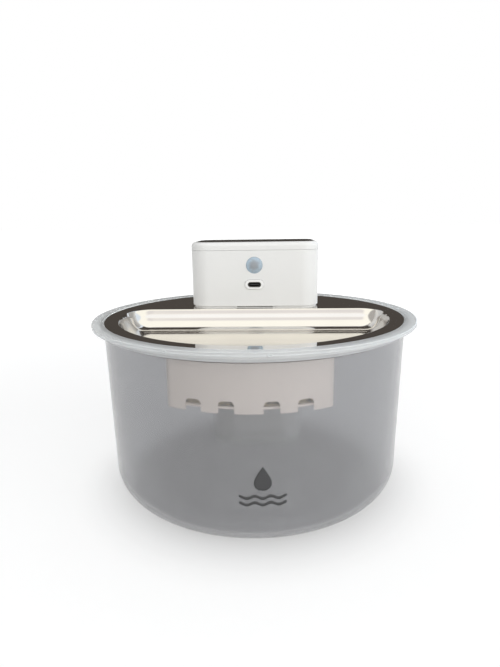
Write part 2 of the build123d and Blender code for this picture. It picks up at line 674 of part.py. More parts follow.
def make_usb_bezel():
    outer = prism(SlotOverall(BEZEL_LENGTH, BEZEL_WIDTH), -HOUSING_WALL, BEZEL_PROUD)
    outer = fillet(outer.faces().sort_by(Axis.Z)[-1].edges(), BEZEL_PROUD / 2)
    rear = -HOUSING_WALL - BEZEL_FLANGE
    flange_plan = SlotOverall(BEZEL_LENGTH + 2 * BEZEL_FLANGE, BEZEL_WIDTH + 2 * BEZEL_FLANGE)
    flange = prism(flange_plan, rear, -HOUSING_WALL)
    slot = prism(SlotOverall(SOCKET_SLOT_LENGTH, SOCKET_SLOT_WIDTH), rear, BEZEL_PROUD)
    return front(SOCKET_HEIGHT) * (outer + flange - slot)


def make_usb_shell():
    rear = -BOARD_SINK
    skin = SHELL_LENGTH - 2 * SHELL_SKIN, SHELL_WIDTH - 2 * SHELL_SKIN
    shell = prism(SlotOverall(SHELL_LENGTH, SHELL_WIDTH), rear, -SHELL_SINK)
    return front(SOCKET_HEIGHT) * (shell - prism(SlotOverall(*skin), rear, -SHELL_SINK))


def make_usb_tongue():
    rear = -BOARD_SINK
    inside_length = SHELL_LENGTH - 2 * SHELL_SKIN
    inside_width = SHELL_WIDTH - 2 * SHELL_SKIN
    foot = prism(SlotOverall(inside_length, inside_width), rear, rear + inside_width / 2)
    blade = prism(Rectangle(inside_length * 0.8, inside_width / 4), rear, -3 * SHELL_SINK)
    return front(SOCKET_HEIGHT) * (foot + blade)


# ---- head unit: electronics ----
def make_control_board():
    half = BOARD_WIDTH / 2
    return block((-half, half), (BOARD_FRONT, BOARD_FRONT + BOARD_THICKNESS), 0, BOARD_Z, BOARD_TOP)


def battery_plug(side):
    """A connector on the board's back for one battery lead."""
    back = BOARD_FRONT + BOARD_THICKNESS
    x_range = sorted((side * (BATTERY_PLUG_END - BATTERY_PLUG_WIDTH), side * BATTERY_PLUG_END))
    return block(x_range, (back, back + BATTERY_PLUG_DEPTH), BOARD_TOP, *BATTERY_PLUG_Z)


def make_board_components():
    """Plugs, the charge chip and the controller on the main board."""
    lead_z = TRAY_TOP + LEAD_PLUG
    half = PUMP_PLUG_WIDTH / 2
    plug_y = (BOARD_FRONT - PUMP_PLUG_DEPTH, BOARD_FRONT)
    parts = [block((PUMP_X - half, PUMP_X + half), plug_y, lead_z, 0, PUMP_PLUG_HEIGHT)]
    for x, z, side, height in CHIPS:
        x_range = (x - side / 2, x + side / 2)
        parts.append(block(x_range, (BOARD_FRONT - height, BOARD_FRONT), BOARD_Z + z, -side / 2, side / 2))
    return parts + [battery_plug(1), battery_plug(-1)]


def make_battery_cells():
    cells = []
    for side in (1, -1):
        place = Pos(0, CELLS_Y + side * CELL_OFFSET, CELL_Z) * Rot(0, 90, 0)
        can = Cylinder(CELL_R, CELL_LENGTH)
        cells.append(place * fillet(can.edges(), CELL_EDGE))
    return cells


def make_cell_tabs():
    inner = CELL_LENGTH / 2
    half_y = CELL_OFFSET + TAB_WIDTH / 2
    half_z = TAB_WIDTH / 2
    tabs = []
    for side in (1, -1):
        x_range = sorted((side * inner, side * (inner + TAB_THICKNESS)))
        tabs.append(block(x_range, (CELLS_Y - half_y, CELLS_Y + half_y), CELL_Z, -half_z, half_z))
    return tabs


def make_battery_cradle():
    half_length = CELL_LENGTH / 2 - LOOSE
    half_width = CELL_OFFSET + CELL_R - LOOSE
    y_range = (CELLS_Y - half_width, CELLS_Y + half_width)
    cradle = block((-half_length, half_length), y_range, CRADLE_Z, 0, CRADLE_PLATE + SADDLE_HEIGHT)
    for side in (1, -1):
        place = Pos(0, CELLS_Y + side * CELL_OFFSET, CELL_Z) * Rot(0, 90, 0)
        cradle = cradle - place * Cylinder(CELL_R + SLIP, CELL_LENGTH)
    for side_x, side_y in CORNERS:
        x, y = side_x * CRADLE_LEG_X, CELLS_Y + side_y * CRADLE_LEG_Y
        cradle = cradle + rod(x, y, CRADLE_LEG_R, BASE_TOP, CRADLE_Z)
    return cradle


def lead_along(points, radius, bend):
    """A round lead swept along straight runs joined by tangent arcs."""
    path = FilletPolyline(*points, radius=bend)
    section = Plane(origin=path @ 0, z_dir=path % 0) * Circle(radius)
    return sweep(section, path=path)


def make_battery_leads():
    tab_x = CELL_LENGTH / 2 + TAB_THICKNESS + BATTERY_LEAD_R + TOUCH
    plug_y = BOARD_FRONT + BOARD_THICKNESS + BATTERY_PLUG_DEPTH / 2
    top = BOARD_TOP + sum(BATTERY_PLUG_Z) / 2
    start_y = CELLS_Y - CELL_OFFSET
    points = [
        (tab_x, start_y, CELL_Z),
        (tab_x, start_y, top),
        (BATTERY_PLUG_END + BATTERY_LEAD_RUN, plug_y, top),
        (BATTERY_PLUG_END, plug_y, top),
    ]
    lead = lead_along(points, BATTERY_LEAD_R, 6 * BATTERY_LEAD_R)
    return [lead, mirror(lead, about=Plane.YZ)]


# ---- button and lights ----
def light_places():
    return [-LIGHT_PITCH, 0.0, LIGHT_PITCH]


def make_status_light_pipes():
    pipes = []
    for x in light_places():
        y = HEAD_Y + LIGHT_Y
        body = rod(x, y, LIGHT_R, BUTTON_BOARD_TOP + LED_HEIGHT + BUTTON_GAP, PANEL_Z + PANEL_THICKNESS)
        pipes.append(body + rod(x, y, 2 * LIGHT_R, CAP_UNDER - LIGHT_FLANGE, CAP_UNDER))
    return pipes


def make_status_leds():
    half = LED_WIDTH / 2
    y = HEAD_Y + LIGHT_Y
    return [block((x - half, x + half), (y - half, y + half), BUTTON_BOARD_TOP, 0, LED_HEIGHT)
            for x in light_places()]


def make_mode_button():
    head = rod(0, HEAD_Y, BUTTON_R, BUTTON_UNDER, BUTTON_TOP)
    head = fillet(head.edges().sort_by(Axis.Z)[-1], PANEL_EDGE)
    return head + rod(0, HEAD_Y, BUTTON_STEM_R, STEM_FOOT, BUTTON_UNDER)


def make_switch_plunger():
    return rod(0, HEAD_Y, PLUNGER_R, STEM_FOOT - PLUNGER_LENGTH, STEM_FOOT)


def make_button_switch():
    half = SWITCH_SIDE / 2
    body = block((-half, half), (HEAD_Y - half, HEAD_Y + half), BUTTON_BOARD_TOP, 0, SWITCH_HEIGHT)
    well = SWITCH_TOP - 2 * BUTTON_TRAVEL - LOOSE
    return body - rod(0, HEAD_Y, PLUNGER_R + PLUNGER_GAP, well, SWITCH_TOP)


def make_button_board():
    half_x = BUTTON_BOARD_WIDTH / 2
    half_y = BUTTON_BOARD_DEPTH / 2
    middle = HEAD_Y + BUTTON_BOARD_Y
    y_range = (middle - half_y, middle + half_y)
    board = block((-half_x, half_x), y_range, BUTTON_BOARD_TOP, -BOARD_THICKNESS, 0)
    for side in (1, -1):
        board = board - rod(side * POST_X, HEAD_Y, SMALL_SCREW_R + SLIP, CELL_Z, BUTTON_BOARD_TOP)
    return board


def make_button_board_screws():
    seat = BUTTON_BOARD_TOP - BOARD_THICKNESS
    return [small_screw(side * POST_X, seat) for side in (1, -1)]


# ---- column ----
def column_plan(inset=0.0):
    return stadium(COLUMN_LENGTH, COLUMN_WIDTH, inset)


def side_slots():
    """Inlet slots through both long sides of the column and its strainer."""
    cuts = []
    low = COLUMN_FOOT + (SKIRT_HEIGHT - COLUMN_SLOT_HEIGHT) / 2
    for number in range(COLUMN_SLOTS):
        x = (number - (COLUMN_SLOTS - 1) / 2) * COLUMN_SLOT_PITCH
        plan = Pos(x, HEAD_Y) * Rectangle(COLUMN_SLOT_WIDTH, 2 * COLUMN_WIDTH)
        cuts.append(prism(plan, low, low + COLUMN_SLOT_HEIGHT))
    return cuts


def make_pump_column():
    column = prism(column_plan(), COLUMN_FOOT, COLUMN_TOP)
    column = column - prism(column_plan(COLUMN_WALL), COLUMN_FOOT, COLUMN_TOP - COLUMN_TOP_PLATE)
    plate_low = COLUMN_TOP - COLUMN_TOP_PLATE
    column = column - rod(TUBE_X, NOZZLE_Y, NOZZLE_R + LOOSE, plate_low, COLUMN_TOP)
    column = column - rod(PUMP_X, HEAD_Y + LEAD_Y, LEAD_R + LEAD_HOLE, plate_low, COLUMN_TOP)
    for side in (1, -1):
        column = column - rod(side * COLUMN_SCREW_X, HEAD_Y, SMALL_SCREW_R + SLIP, plate_low, COLUMN_TOP)
    for cut in side_slots():
        column = column - cut
    return column


def make_column_screws():
    seat = COLUMN_TOP - COLUMN_TOP_PLATE
    return [small_screw(side * COLUMN_SCREW_X, seat) for side in (1, -1)]


def make_inlet_strainer():
    strainer = prism(column_plan(), STRAINER_FOOT, COLUMN_FOOT)
    strainer = strainer + prism(column_plan(COLUMN_WALL + SLIP), COLUMN_FOOT, COVER_Z)
    strainer = strainer - prism(column_plan(COLUMN_WALL + SLIP + SKIRT_WALL), COLUMN_FOOT, COVER_Z)
    strainer = fillet(strainer.faces().sort_by(Axis.Z)[0].edges(), STRAINER_EDGE)
    for cut in side_slots():
        strainer = strainer - cut
    for number in range(COLUMN_SLOTS):
        x = (number - (COLUMN_SLOTS - 1) / 2) * COLUMN_SLOT_PITCH
        slot = Pos(x, HEAD_Y) * Rot(0, 0, 90) * SlotOverall(COLUMN_WIDTH / 2, COLUMN_SLOT_WIDTH)
        strainer = strainer - prism(slot, STRAINER_FOOT, COLUMN_FOOT)
    return strainer


def make_inlet_sponge():
    plan = column_plan(COLUMN_WALL + SLIP + SKIRT_WALL + LOOSE)
    return prism(plan, COLUMN_FOOT, COLUMN_FOOT + SPONGE_THICKNESS)


# ---- pump ----
def make_pump_cover():
    cover = prism(column_plan(COLUMN_WALL + SLIP), COVER_Z, VOLUTE_Z)
    cover = cover - rod(PUMP_X, PUMP_Y, PUMP_INLET_R, COVER_Z, VOLUTE_Z)
    spider = rod(PUMP_X, PUMP_Y, SEAT_R + SEAT_WALL - 2 * SLIP, COVER_Z, VOLUTE_Z)
    for turn in range(3):
        arm = Pos(PUMP_INLET_R / 2, 0) * Rectangle(PUMP_INLET_R + SLIP, SPIDER_ARM)
        arm = Pos(PUMP_X, PUMP_Y) * Rot(0, 0, 120 * turn) * arm
        spider = spider + prism(arm, COVER_Z, VOLUTE_Z)
    cover = cover + spider
    return cover - rod(PUMP_X, PUMP_Y, SEAT_R, SHAFT_FOOT, VOLUTE_Z)


def make_pump_housing():
    body = rod(PUMP_X, PUMP_Y, PUMP_R, VOLUTE_Z, PUMP_TOP)
    duct_top = VOLUTE_TOP + VOLUTE_ROOF
    body = body + duct(NOZZLE_R - DUCT_INSET, VOLUTE_Z, duct_top)
    body = body + rod(TUBE_X, NOZZLE_Y, NOZZLE_R, VOLUTE_Z, NOZZLE_TOP)
    body = body - rod(PUMP_X, PUMP_Y, VOLUTE_R, VOLUTE_Z, VOLUTE_TOP)
    bore_foot = VOLUTE_Z + VOLUTE_ROOF
    body = body - duct(NOZZLE_BORE - DUCT_INSET, bore_foot, VOLUTE_TOP - DUCT_INSET)
    body = body - rod(TUBE_X, NOZZLE_Y, NOZZLE_BORE, bore_foot, NOZZLE_TOP)
    body = body - pipe(PUMP_X, PUMP_Y, PUMP_R - PUMP_WALL, WELL_R + WELL_WALL, WINDING_Z, PUMP_TOP)
    body = body - rod(PUMP_X, PUMP_Y, WELL_R, VOLUTE_TOP, WELL_TOP)
    return body - rod(PUMP_X, PUMP_Y, SEAT_R, WELL_TOP, WELL_TOP + SEAT_LENGTH)


def duct(half_width, low, high):
    """A square duct from the volute to the nozzle, beside the pump's axis."""
    return block((PUMP_X, TUBE_X), (NOZZLE_Y - half_width, NOZZLE_Y + half_width), 0, low, high)


def make_stator_cap():
    cap = rod(PUMP_X, PUMP_Y, PUMP_R, PUMP_TOP, PUMP_TOP + STATOR_CAP)
    return cap - rod(PUMP_X, HEAD_Y + LEAD_Y, LEAD_R + SLIP, PUMP_TOP, PUMP_TOP + STATOR_CAP)


def make_stator_core():
    high = CORE_Z + CORE_LENGTH
    core = pipe(PUMP_X, PUMP_Y, CORE_R, CORE_R - CORE_RING, CORE_Z, high)
    tip = WELL_R + WELL_WALL + SLIP
    reach = CORE_R - CORE_RING / 2 - tip
    for turn in range(TEETH):
        tooth = Pos(tip + reach / 2, 0) * Rectangle(reach, TOOTH_WIDTH)
        tooth = Pos(PUMP_X, PUMP_Y) * Rot(0, 0, 360 / TEETH * turn) * tooth
        core = core + prism(tooth, CORE_Z, high)
    return core


def make_pump_coils():
    low = CORE_Z
    high = CORE_Z + CORE_LENGTH
    width = TOOTH_WIDTH + 2 * SLIP
    outer = math.sqrt((CORE_R - CORE_RING)**2 - (width / 2 + COIL_BUILD)**2) - SLIP
    middle = outer - COIL_LENGTH / 2
    coils = []
    for turn in range(TEETH):
        place = Pos(PUMP_X, PUMP_Y) * Rot(0, 0, 360 / TEETH * turn) * Pos(middle, 0)
        outside = place * Rectangle(COIL_LENGTH, width + 2 * COIL_BUILD)
        window = place * Rectangle(COIL_LENGTH, width)
        coil = prism(outside, low - SLIP - COIL_BUILD, high + SLIP + COIL_BUILD)
        coils.append(coil - prism(window, low - SLIP, high + SLIP))
    return coils


def make_impeller():
    low = VOLUTE_Z + RUNNING_GAP
    shroud_z = low + VANE_HEIGHT
    stem_foot = shroud_z + IMPELLER_SHROUD
    stem_top = stem_foot + MAGNET_RISE + MAGNET_LENGTH + RUNNING_GAP
    wheel = rod(PUMP_X, PUMP_Y, IMPELLER_R, shroud_z, stem_foot)
    wheel = wheel + rod(PUMP_X, PUMP_Y, STEM_R, low, stem_top)
    reach = IMPELLER_R - STEM_R
    for turn in range(IMPELLER_VANES):
        vane = Pos(STEM_R + reach / 2, 0) * Rectangle(reach + SLIP, VANE_THICKNESS)
        vane = Pos(PUMP_X, PUMP_Y) * Rot(0, 0, 360 / IMPELLER_VANES * turn) * vane
        wheel = wheel + prism(vane, low, shroud_z)
    return wheel - rod(PUMP_X, PUMP_Y, SHAFT_R + SHAFT_GAP, low, stem_top)


def make_rotor_magnet():
    low = VOLUTE_Z + RUNNING_GAP + VANE_HEIGHT + IMPELLER_SHROUD + MAGNET_RISE
    return pipe(PUMP_X, PUMP_Y, MAGNET_R, STEM_R - TOUCH, low, low + MAGNET_LENGTH)


def make_impeller_shaft():
    return rod(PUMP_X, PUMP_Y, SHAFT_R, SHAFT_FOOT, SHAFT_TOP)


def make_shaft_seats():
    lower = pipe(PUMP_X, PUMP_Y, SEAT_R, SHAFT_R - TOUCH, SHAFT_FOOT, VOLUTE_Z)
    upper = pipe(PUMP_X, PUMP_Y, SEAT_R, SHAFT_R - TOUCH, WELL_TOP, SHAFT_TOP)
    return [lower, upper]


def make_delivery_tube():
    bore = NOZZLE_R - TOUCH
    low = NOZZLE_TOP - TUBE_OVERLAP
    return pipe(TUBE_X, NOZZLE_Y, NOZZLE_R + TUBE_WALL, bore, low, NIPPLE_FOOT + TUBE_OVERLAP)


# ---- pump cable ----
def make_motor_lead():
    lead_y = HEAD_Y + LEAD_Y
    plug_y = BOARD_FRONT - PUMP_PLUG_DEPTH / 2
    crossing = TRAY_TOP + LEAD_RISE
    points = [
        (PUMP_X, lead_y, CORE_Z + CORE_LENGTH),
        (PUMP_X, lead_y, crossing),
        (PUMP_X, plug_y, crossing),
        (PUMP_X, plug_y, TRAY_TOP + LEAD_PLUG),
    ]
    return lead_along(points, LEAD_R, LEAD_BEND)


def make_lead_grommet():
    lead_y = HEAD_Y + LEAD_Y
    bore = LEAD_R - TOUCH
    return pipe(PUMP_X, lead_y, GROMMET_R, bore, BASE_UNDER, BASE_UNDER + GROMMET_LENGTH)


PARTS = {
    "tank": make_tank,
    "drinking_tray": make_drinking_tray,
    "filter_box": make_filter_box,
    "filter_box_lid": make_filter_box_lid,
    "filter_seal": make_filter_seal,
    "filter_cotton": make_filter_cotton,
    "filter_media": make_filter_media,
    "head_base": make_head_base,
    "head_housing": make_head_housing,
    "head_cap": make_head_cap,
    "top_panel": make_top_panel,
    "base_gasket": make_base_gasket,
    "housing_screws": make_housing_screws,
    "spout": make_spout,
    "pir_lens": make_pir_lens,
    "pir_sensor": make_pir_sensor,
    "usb_bezel": make_usb_bezel,
    "usb_shell": make_usb_shell,
    "usb_tongue": make_usb_tongue,
    "control_board": make_control_board,
    "board_components": make_board_components,
    "battery_cells": make_battery_cells,
    "cell_tabs": make_cell_tabs,
    "battery_cradle": make_battery_cradle,
    "battery_leads": make_battery_leads,
    "status_light_pipes": make_status_light_pipes,
    "status_leds": make_status_leds,
    "mode_button": make_mode_button,
    "switch_plunger": make_switch_plunger,
    "button_switch": make_button_switch,
    "button_board": make_button_board,
    "button_board_screws": make_button_board_screws,
    "pump_column": make_pump_column,
    "column_screws": make_column_screws,
    "inlet_strainer": make_inlet_strainer,
    "inlet_sponge": make_inlet_sponge,
    "pump_cover": make_pump_cover,
    "pump_housing": make_pump_housing,
    "stator_cap": make_stator_cap,
    "stator_core": make_stator_core,
    "pump_coils": make_pump_coils,
    "impeller": make_impeller,
    "rotor_magnet": make_rotor_magnet,
    "impeller_shaft": make_impeller_shaft,
    "shaft_seats": make_shaft_seats,
    "delivery_tube": make_delivery_tube,
    "motor_lead": make_motor_lead,
    "lead_grommet": make_lead_grommet,
}


def main():
    os.makedirs("parts", exist_ok=True)
    for name, make in PARTS.items():
        shape = make()
        if isinstance(shape, list):
            shape = Compound(children=shape)
        export_step(shape, f"parts/{name}.step")


if __name__ == "__main__":
    main()
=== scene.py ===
import json
import math

import bmesh
import bpy
from mathutils import Matrix, Vector, noise


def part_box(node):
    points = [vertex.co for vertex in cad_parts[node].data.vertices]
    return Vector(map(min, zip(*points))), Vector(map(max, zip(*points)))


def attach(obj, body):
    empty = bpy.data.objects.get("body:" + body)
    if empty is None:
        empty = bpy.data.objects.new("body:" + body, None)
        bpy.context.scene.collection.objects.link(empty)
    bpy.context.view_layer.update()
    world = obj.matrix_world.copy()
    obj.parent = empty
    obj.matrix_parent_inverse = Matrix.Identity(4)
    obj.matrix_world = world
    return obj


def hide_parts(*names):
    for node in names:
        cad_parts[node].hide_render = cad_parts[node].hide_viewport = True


# A cordless pet water fountain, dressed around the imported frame. Metres, +Z up, the basin faces -Y.

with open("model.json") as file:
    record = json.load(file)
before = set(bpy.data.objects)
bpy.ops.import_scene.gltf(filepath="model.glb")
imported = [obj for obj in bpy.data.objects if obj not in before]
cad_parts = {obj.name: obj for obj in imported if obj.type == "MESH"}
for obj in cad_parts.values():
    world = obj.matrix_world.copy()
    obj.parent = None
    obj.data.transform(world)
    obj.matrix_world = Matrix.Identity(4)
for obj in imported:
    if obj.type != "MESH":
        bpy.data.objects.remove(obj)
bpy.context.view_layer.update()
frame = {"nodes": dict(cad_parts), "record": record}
NODES = frame["nodes"]
SLOT_OF = {part["node"]: part["material_slot"] for part in frame["record"]["subparts"]}

# ---- tank ----
TANK_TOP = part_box("tank")[1].z
TRAY_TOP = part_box("drinking_tray")[1].z
RIM_RADIUS = 0.105
COLLAR_RADIUS = 0.0998
SEAT_RADIUS = 0.0978
LEDGE_RADIUS = 0.0955
WALL_TOP_RADIUS = 0.0977
WALL_FOOT_RADIUS = 0.0949
WALL_SLOPE = (WALL_TOP_RADIUS - WALL_FOOT_RADIUS) / TANK_TOP
WALL = 0.0022
TANK_FLOOR = 0.0025
RIM_LIP = 0.0025
RIM_GROOVE = 0.00022
RIM_GROOVE_Z = TANK_TOP - 0.0012
GROOVE_ROUND = 0.00008
RIM_ROUND = (0.0006, 0.0007)         # the rim's edge, below and above
COLLAR_ROUND = 0.0006
SLOPE_ROUND = 0.0015
STEP_ROUND = 0.0004
SEAT_ROUND = 0.0002
COLLAR_RISE = 0.0021
SEAT_Z = TANK_TOP - 0.0013
FOOT_ROUND = 0.019
TANK_TURNS = 192           # segments round it

# ---- tray ----
SHEET = 0.0008
TRAY_RADIUS = 0.0973
BASIN_RADIUS = 0.0888
BASIN_BACK_Y = 0.0203
BASIN_CORNER = 0.016
BASIN_DEPTH = 0.0136
BASIN_LIP_INSET = -0.0003
BASIN_BENDS = (            # radius of each bend down the wall, and the slope in degrees that it ends at
    (0.0009, 54),
    (0.0160, 69),
    (0.0115, 0),
)
BASIN_STEP = 0.0004        # length of one step along a bend
BASIN_LEAST_STEPS = 5
STEEL_ROUGHNESS = (0.03, 0.06)
BASIN_SOFTNESS = 0.07                # added to the steel's roughness in the basin
SOFT_DEPTHS = (0.004, 0.0002)        # how far below the tray's top all of it is added, and none of it
SUMP_Y = -0.063
SUMP_LENGTH = 0.0544
SUMP_WIDTH = 0.0144
SUMP_DEPTH = 0.0042
SUMP_ROUND = 0.0009
SLOT_COUNT = 8
SLOT_PITCH = 0.0056
SLOT_LENGTH = 0.009
SLOT_WIDTH = 0.0024
OPENING_LENGTH = 0.074
OPENING_WIDTH = 0.040
HEAD_Y = 0.0508
TRAY_TURNS = 256
OPENING_STEPS = 40
SHEET_EDGE = 0.0002                  # rounding of the sheet's edges
SHEET_EDGE_ANGLE = math.radians(60)

# ---- print on the tank, marks on its rim ----
PRINT_X = 0.007
PRINT_DROP_Z = 0.0445
PRINT_DROP = 0.0140
DROP_HALF_WIDTH = 0.47               # the drop's shape, for a height of one
DROP_TAPER = 1.4
DROP_MIDDLE = 0.12                   # its rings shrink towards a point this far below its middle
DROP_RINGS = (1.0, 0.8, 0.6, 0.4, 0.2)
DROP_POINTS = 72
RIPPLE_HEIGHTS = (0.0336, 0.0298)
RIPPLE_WIDTH = 0.0255
RIPPLE_SWELL = 0.0007
RIPPLE_WAVES = 3
RIPPLE_STROKE = 0.0017
RIPPLE_END_ROUND = 0.96              # 1 would end its strokes in full half circles
RIPPLE_STEPS = 96
PRINT_LIFT = 0.00004
MARK_TURNS = (-113, -84, -22, 58, 139)
MARK_Z = 0.1129
MARK_STRETCH = (1.3, 0.75)           # across and up
MARK_PROFILE = (                     # radius and height of a dome with a dimple
    (0, 0.00008),
    (0.0004, 0.00009),
    (0.0007, 0.00024),
    (0.0010, 0.0002),
    (0.0013, -0.0001),
    (0, -0.0001),
)
MARK_SEGMENTS = 32

# ---- sensor lens ----
LENS_RADIUS = 0.00586
LENS_PROUD = 0.0017
LENS_WALL = 0.0022
LENS_FLANGE = 0.00105
LENS_SKIN = 0.0008
LENS_SPARE = 0.001                   # material above the dome, which the facets cut away
LENS_SEGMENTS = 96
LENS_ROWS = 5
LENS_PITCH = 0.0017
LENS_CREASE = math.radians(3)
LENS_PAINTED_SHADE_FADE = (0.0015, 0.0060)         # distances from its middle where the painted shade of the sensor behind gives way to the tint, and where the tint is full

# ---- filter layers and sponge ----
GRAIN_VOXEL = 0.0008
GRAIN_PITCH = 0.0017
GRAIN_DEPTH = 0.0005
GRAIN_GAIN = 1.4
GRAIN_SMOOTHING = 2                  # passes
SOFT_SMOOTHING = 4
PILE_GAIN = 1.6
PILE_FRACTAL = (1.0, 2.0, 3)         # fractal increment, lacunarity and octaves
SOFT_LAYERS = (            # piece, node, body, voxel, pattern size, depth, fill
    ("fleece_pad", "filter_cotton", "filter", 0.0009, 0.0024, 0.00030, 0.7),
    ("foam_pad", "inlet_sponge", "head", 0.0007, 0.0009, 0.00040, 1.0),
)

# ---- looks ----
CREASE = math.radians(32)            # edges sharper than this stay crisp
MERGE_DISTANCE = 1e-7
NOISE_RANGE = (0.25, 0.75)           # where most of a noise pattern's values lie
CLOUD_SCALE = 60.0
GLOSS_SPREAD = 0.12                  # share by which the roughness of plastic varies
PLASTIC_IOR = 1.4

# ---- studio ----
SKY_LIGHT = 0.62
SKY_COLOR = (0.97, 0.985, 1.0)
FLOOR_SIZE = 12
FLOOR_COLOR = (0.80, 0.80, 0.80)
FLOOR_GLOW_WITH_PAINTED_SHADOW = (0.34, 0.56)            # under the tank, and round it; the weaker glow under it is a painted shadow
# the floor's shaded colour under the tank, and round it; the darker one under it is a painted shadow
FLOOR_TONE_WITH_PAINTED_SHADOW = (0.20, 0.50)
PAINTED_SHADOW_RADII = (0.050, 0.128)          # the floor goes from the one to the other between these radii, from the painted shadow under the tank to the plain floor
FLOOR_FAR = 1.6                      # how much stronger the glow is far away, where the lamps fade
FLOOR_FADE = (0.25, 1.3)
ROOM_RADIUS = 2.5
ROOM_FOOT = -0.05
ROOM_SEGMENTS = (48, 32)
ROOM_PANES = (             # colour; left and right side; lowest and highest angle; softness of these edges
    ((0.54, 0.525, 0.50), (-2.0, -0.40), (-90, 270), (0.06, 8)),
    ((0.96, 1.06, 1.17), (0.36, 2.0), (-90, 270), (0.06, 8)),
    ((1.34, 1.32, 1.20), (-0.70, 0.80), (83, 170), (0.10, 3)),
    ((1.30, 1.30, 1.28), (-0.50, 0.50), (144, 160), (0.10, 4)),
    ((1.02, 0.98, 0.96), (-0.30, 0.30), (128, 143), (0.30, 8)),
    ((0.080, 0.070, 0.062), (-0.38, 0.34), (-90, 81), (0.05, 3)),
    ((0.62, 0.61, 0.58), (-0.45, -0.17), (-90, 8.2), (0.04, 1.6)),
    ((0.90, 0.96, 1.00), (0.17, 2.0), (-90, 8.2), (0.04, 1.6)),
    ((0.94, 1.03, 1.12), (0.25, 2.0), (-90, 9.9), (0.02, 1.0)),
)
LAMP_AIM = (0, 0, 0.1)
LAMPS = (                            # name, place, size, power and colour
    ("softbox_front", (0.3, -1.6, 1.0), (2.0, 1.4), 13.0, (1.0, 0.985, 0.95)),
    ("softbox_right", (1.6, -0.8, 0.8), (1.2, 1.2), 10.0, (0.97, 0.985, 1.0)),
    ("softbox_left", (-1.7, -0.2, 0.7), (1.0, 1.2), 0.4, (1.0, 0.985, 0.96)),
    ("softbox_top", (0.0, 0.4, 1.7), (1.4, 1.0), 2.4, (1.0, 0.99, 0.98)),
)

# ---- camera: where the photographer stood ----
CAMERA_DISTANCE = 0.33305
CAMERA_HEIGHT = 0.17508
CAMERA_TURN = math.radians(2.0)      # the object is turned by this much in the picture
CAMERA_HEADING = math.radians(2.464)
CAMERA_PITCH = 0.22124
CAMERA_ROLL = 0.0142
FOCAL_PIXELS = 501.0
IMAGE_HEIGHT = 667.0
SENSOR = 36.0


# ---------------------------------------------------------------- mesh helpers
def rounded(points, radii, steps):
    """A 2-D polyline with its corners replaced by arcs."""
    path = []
    last = len(points) - 1
    for index, (point, radius) in enumerate(zip(points, radii)):
        here = Vector(point)
        if radius <= 0 or index in (0, last):
            path.append(here)
            continue
        before = (Vector(points[index - 1]) - here).normalized()
        after = (Vector(points[index + 1]) - here).normalized()
        half = before.angle(after) / 2
        centre = here + (before + after).normalized() * (radius / math.sin(half))
        start = here + before * (radius / math.tan(half)) - centre
        end = here + after * (radius / math.tan(half)) - centre
        sweep = math.pi - 2 * half
        side = 1 if start.x * end.y - start.y * end.x > 0 else -1
        for step in range(steps + 1):
            turn = side * sweep * step / steps
            cos, sin = math.cos(turn), math.sin(turn)
            path.append(centre + Vector((start.x * cos - start.y * sin, start.x * sin + start.y * cos)))
    return path


def new_object(name, bm, sharp=CREASE):
    """A smooth-shaded object from a bmesh, with edges over the sharp angle kept crisp."""
    bmesh.ops.remove_doubles(bm, verts=bm.verts, dist=MERGE_DISTANCE)
    bmesh.ops.recalc_face_normals(bm, faces=bm.faces)
    mesh = bpy.data.meshes.new(name)
    bm.to_mesh(mesh)
    bm.free()
    mesh.polygons.foreach_set("use_smooth", [True] * len(mesh.polygons))
    mesh.set_sharp_from_angle(angle=sharp)
    item = bpy.data.objects.new(name, mesh)
    bpy.context.scene.collection.objects.link(item)
    return item


def weighted(item):
    """Flat faces stay flat beside rounded edges."""
    item.modifiers.new("normals", "WEIGHTED_NORMAL").keep_sharp = True
    return item


def bridge(bm, first, second):
    """Quads between two closed rings of vertices; a ring of one vertex is a point."""
    count = max(len(first), len(second))
    for index in range(count):
        after = (index + 1) % count
        corners = []
        for ring, picks in ((first, (index, after)), (second, (after, index))):
            corners += [ring[0]] if len(ring) == 1 else [ring[pick] for pick in picks]
        bm.faces.new(corners)


def skin(bm, rings):
    """Bridges each ring to the next."""
    for first, second in zip(rings, rings[1:]):
        bridge(bm, first, second)


def ring_of(bm, outline, height):
    """A ring of vertices from a flat outline."""
    return [bm.verts.new((x, y, height)) for x, y in outline]


def circle(radius, count):
    """Points round the origin."""
    turns = [2 * math.pi * index / count for index in range(count)]
    return [(radius * math.cos(turn), radius * math.sin(turn)) for turn in turns]


def turned(bm, outline, segments):
    """A closed outline of (radius, height) points turned about Z."""
    rings = []
    for radius, height in outline:
        if radius == 0:
            rings.append([bm.verts.new((0, 0, height))])
        else:
            rings.append(ring_of(bm, circle(radius, segments), height))
    skin(bm, rings)


def lathe(name, outline, segments):
    """An object from a turned outline."""
    bm = bmesh.new()
    turned(bm, outline, segments)
    return new_object(name, bm)


def flat_face(bm, *rings):
    """A flat sheet inside the first ring, with the other rings as its holes."""
    edges = []
    for ring in rings:
        for first, second in zip(ring, ring[1:] + ring[:1]):
            edge = bm.edges.get((first, second)) or bm.edges.new((first, second))
            edges.append(edge)
    bmesh.ops.triangle_fill(bm, use_beauty=True, use_dissolve=False, edges=edges)


def stadium(length, width, x, y, steps=20, upright=False):
    """Outline of a slot with round ends; upright turns its length along Y."""
    points = []
    reach = (length - width) / 2
    for side in (1, -1):
        for step in range(steps + 1):
            turn = -math.pi / 2 + math.pi * step / steps
            px = side * (reach + math.cos(turn) * width / 2)
            py = side * math.sin(turn) * width / 2
            points.append((x - py, y + px) if upright else (x + px, y + py))
    return points


# ---------------------------------------------------------------- materials
def nodes_of(material):
    """The material's nodes and links."""
    return material.node_tree.nodes, material.node_tree.links


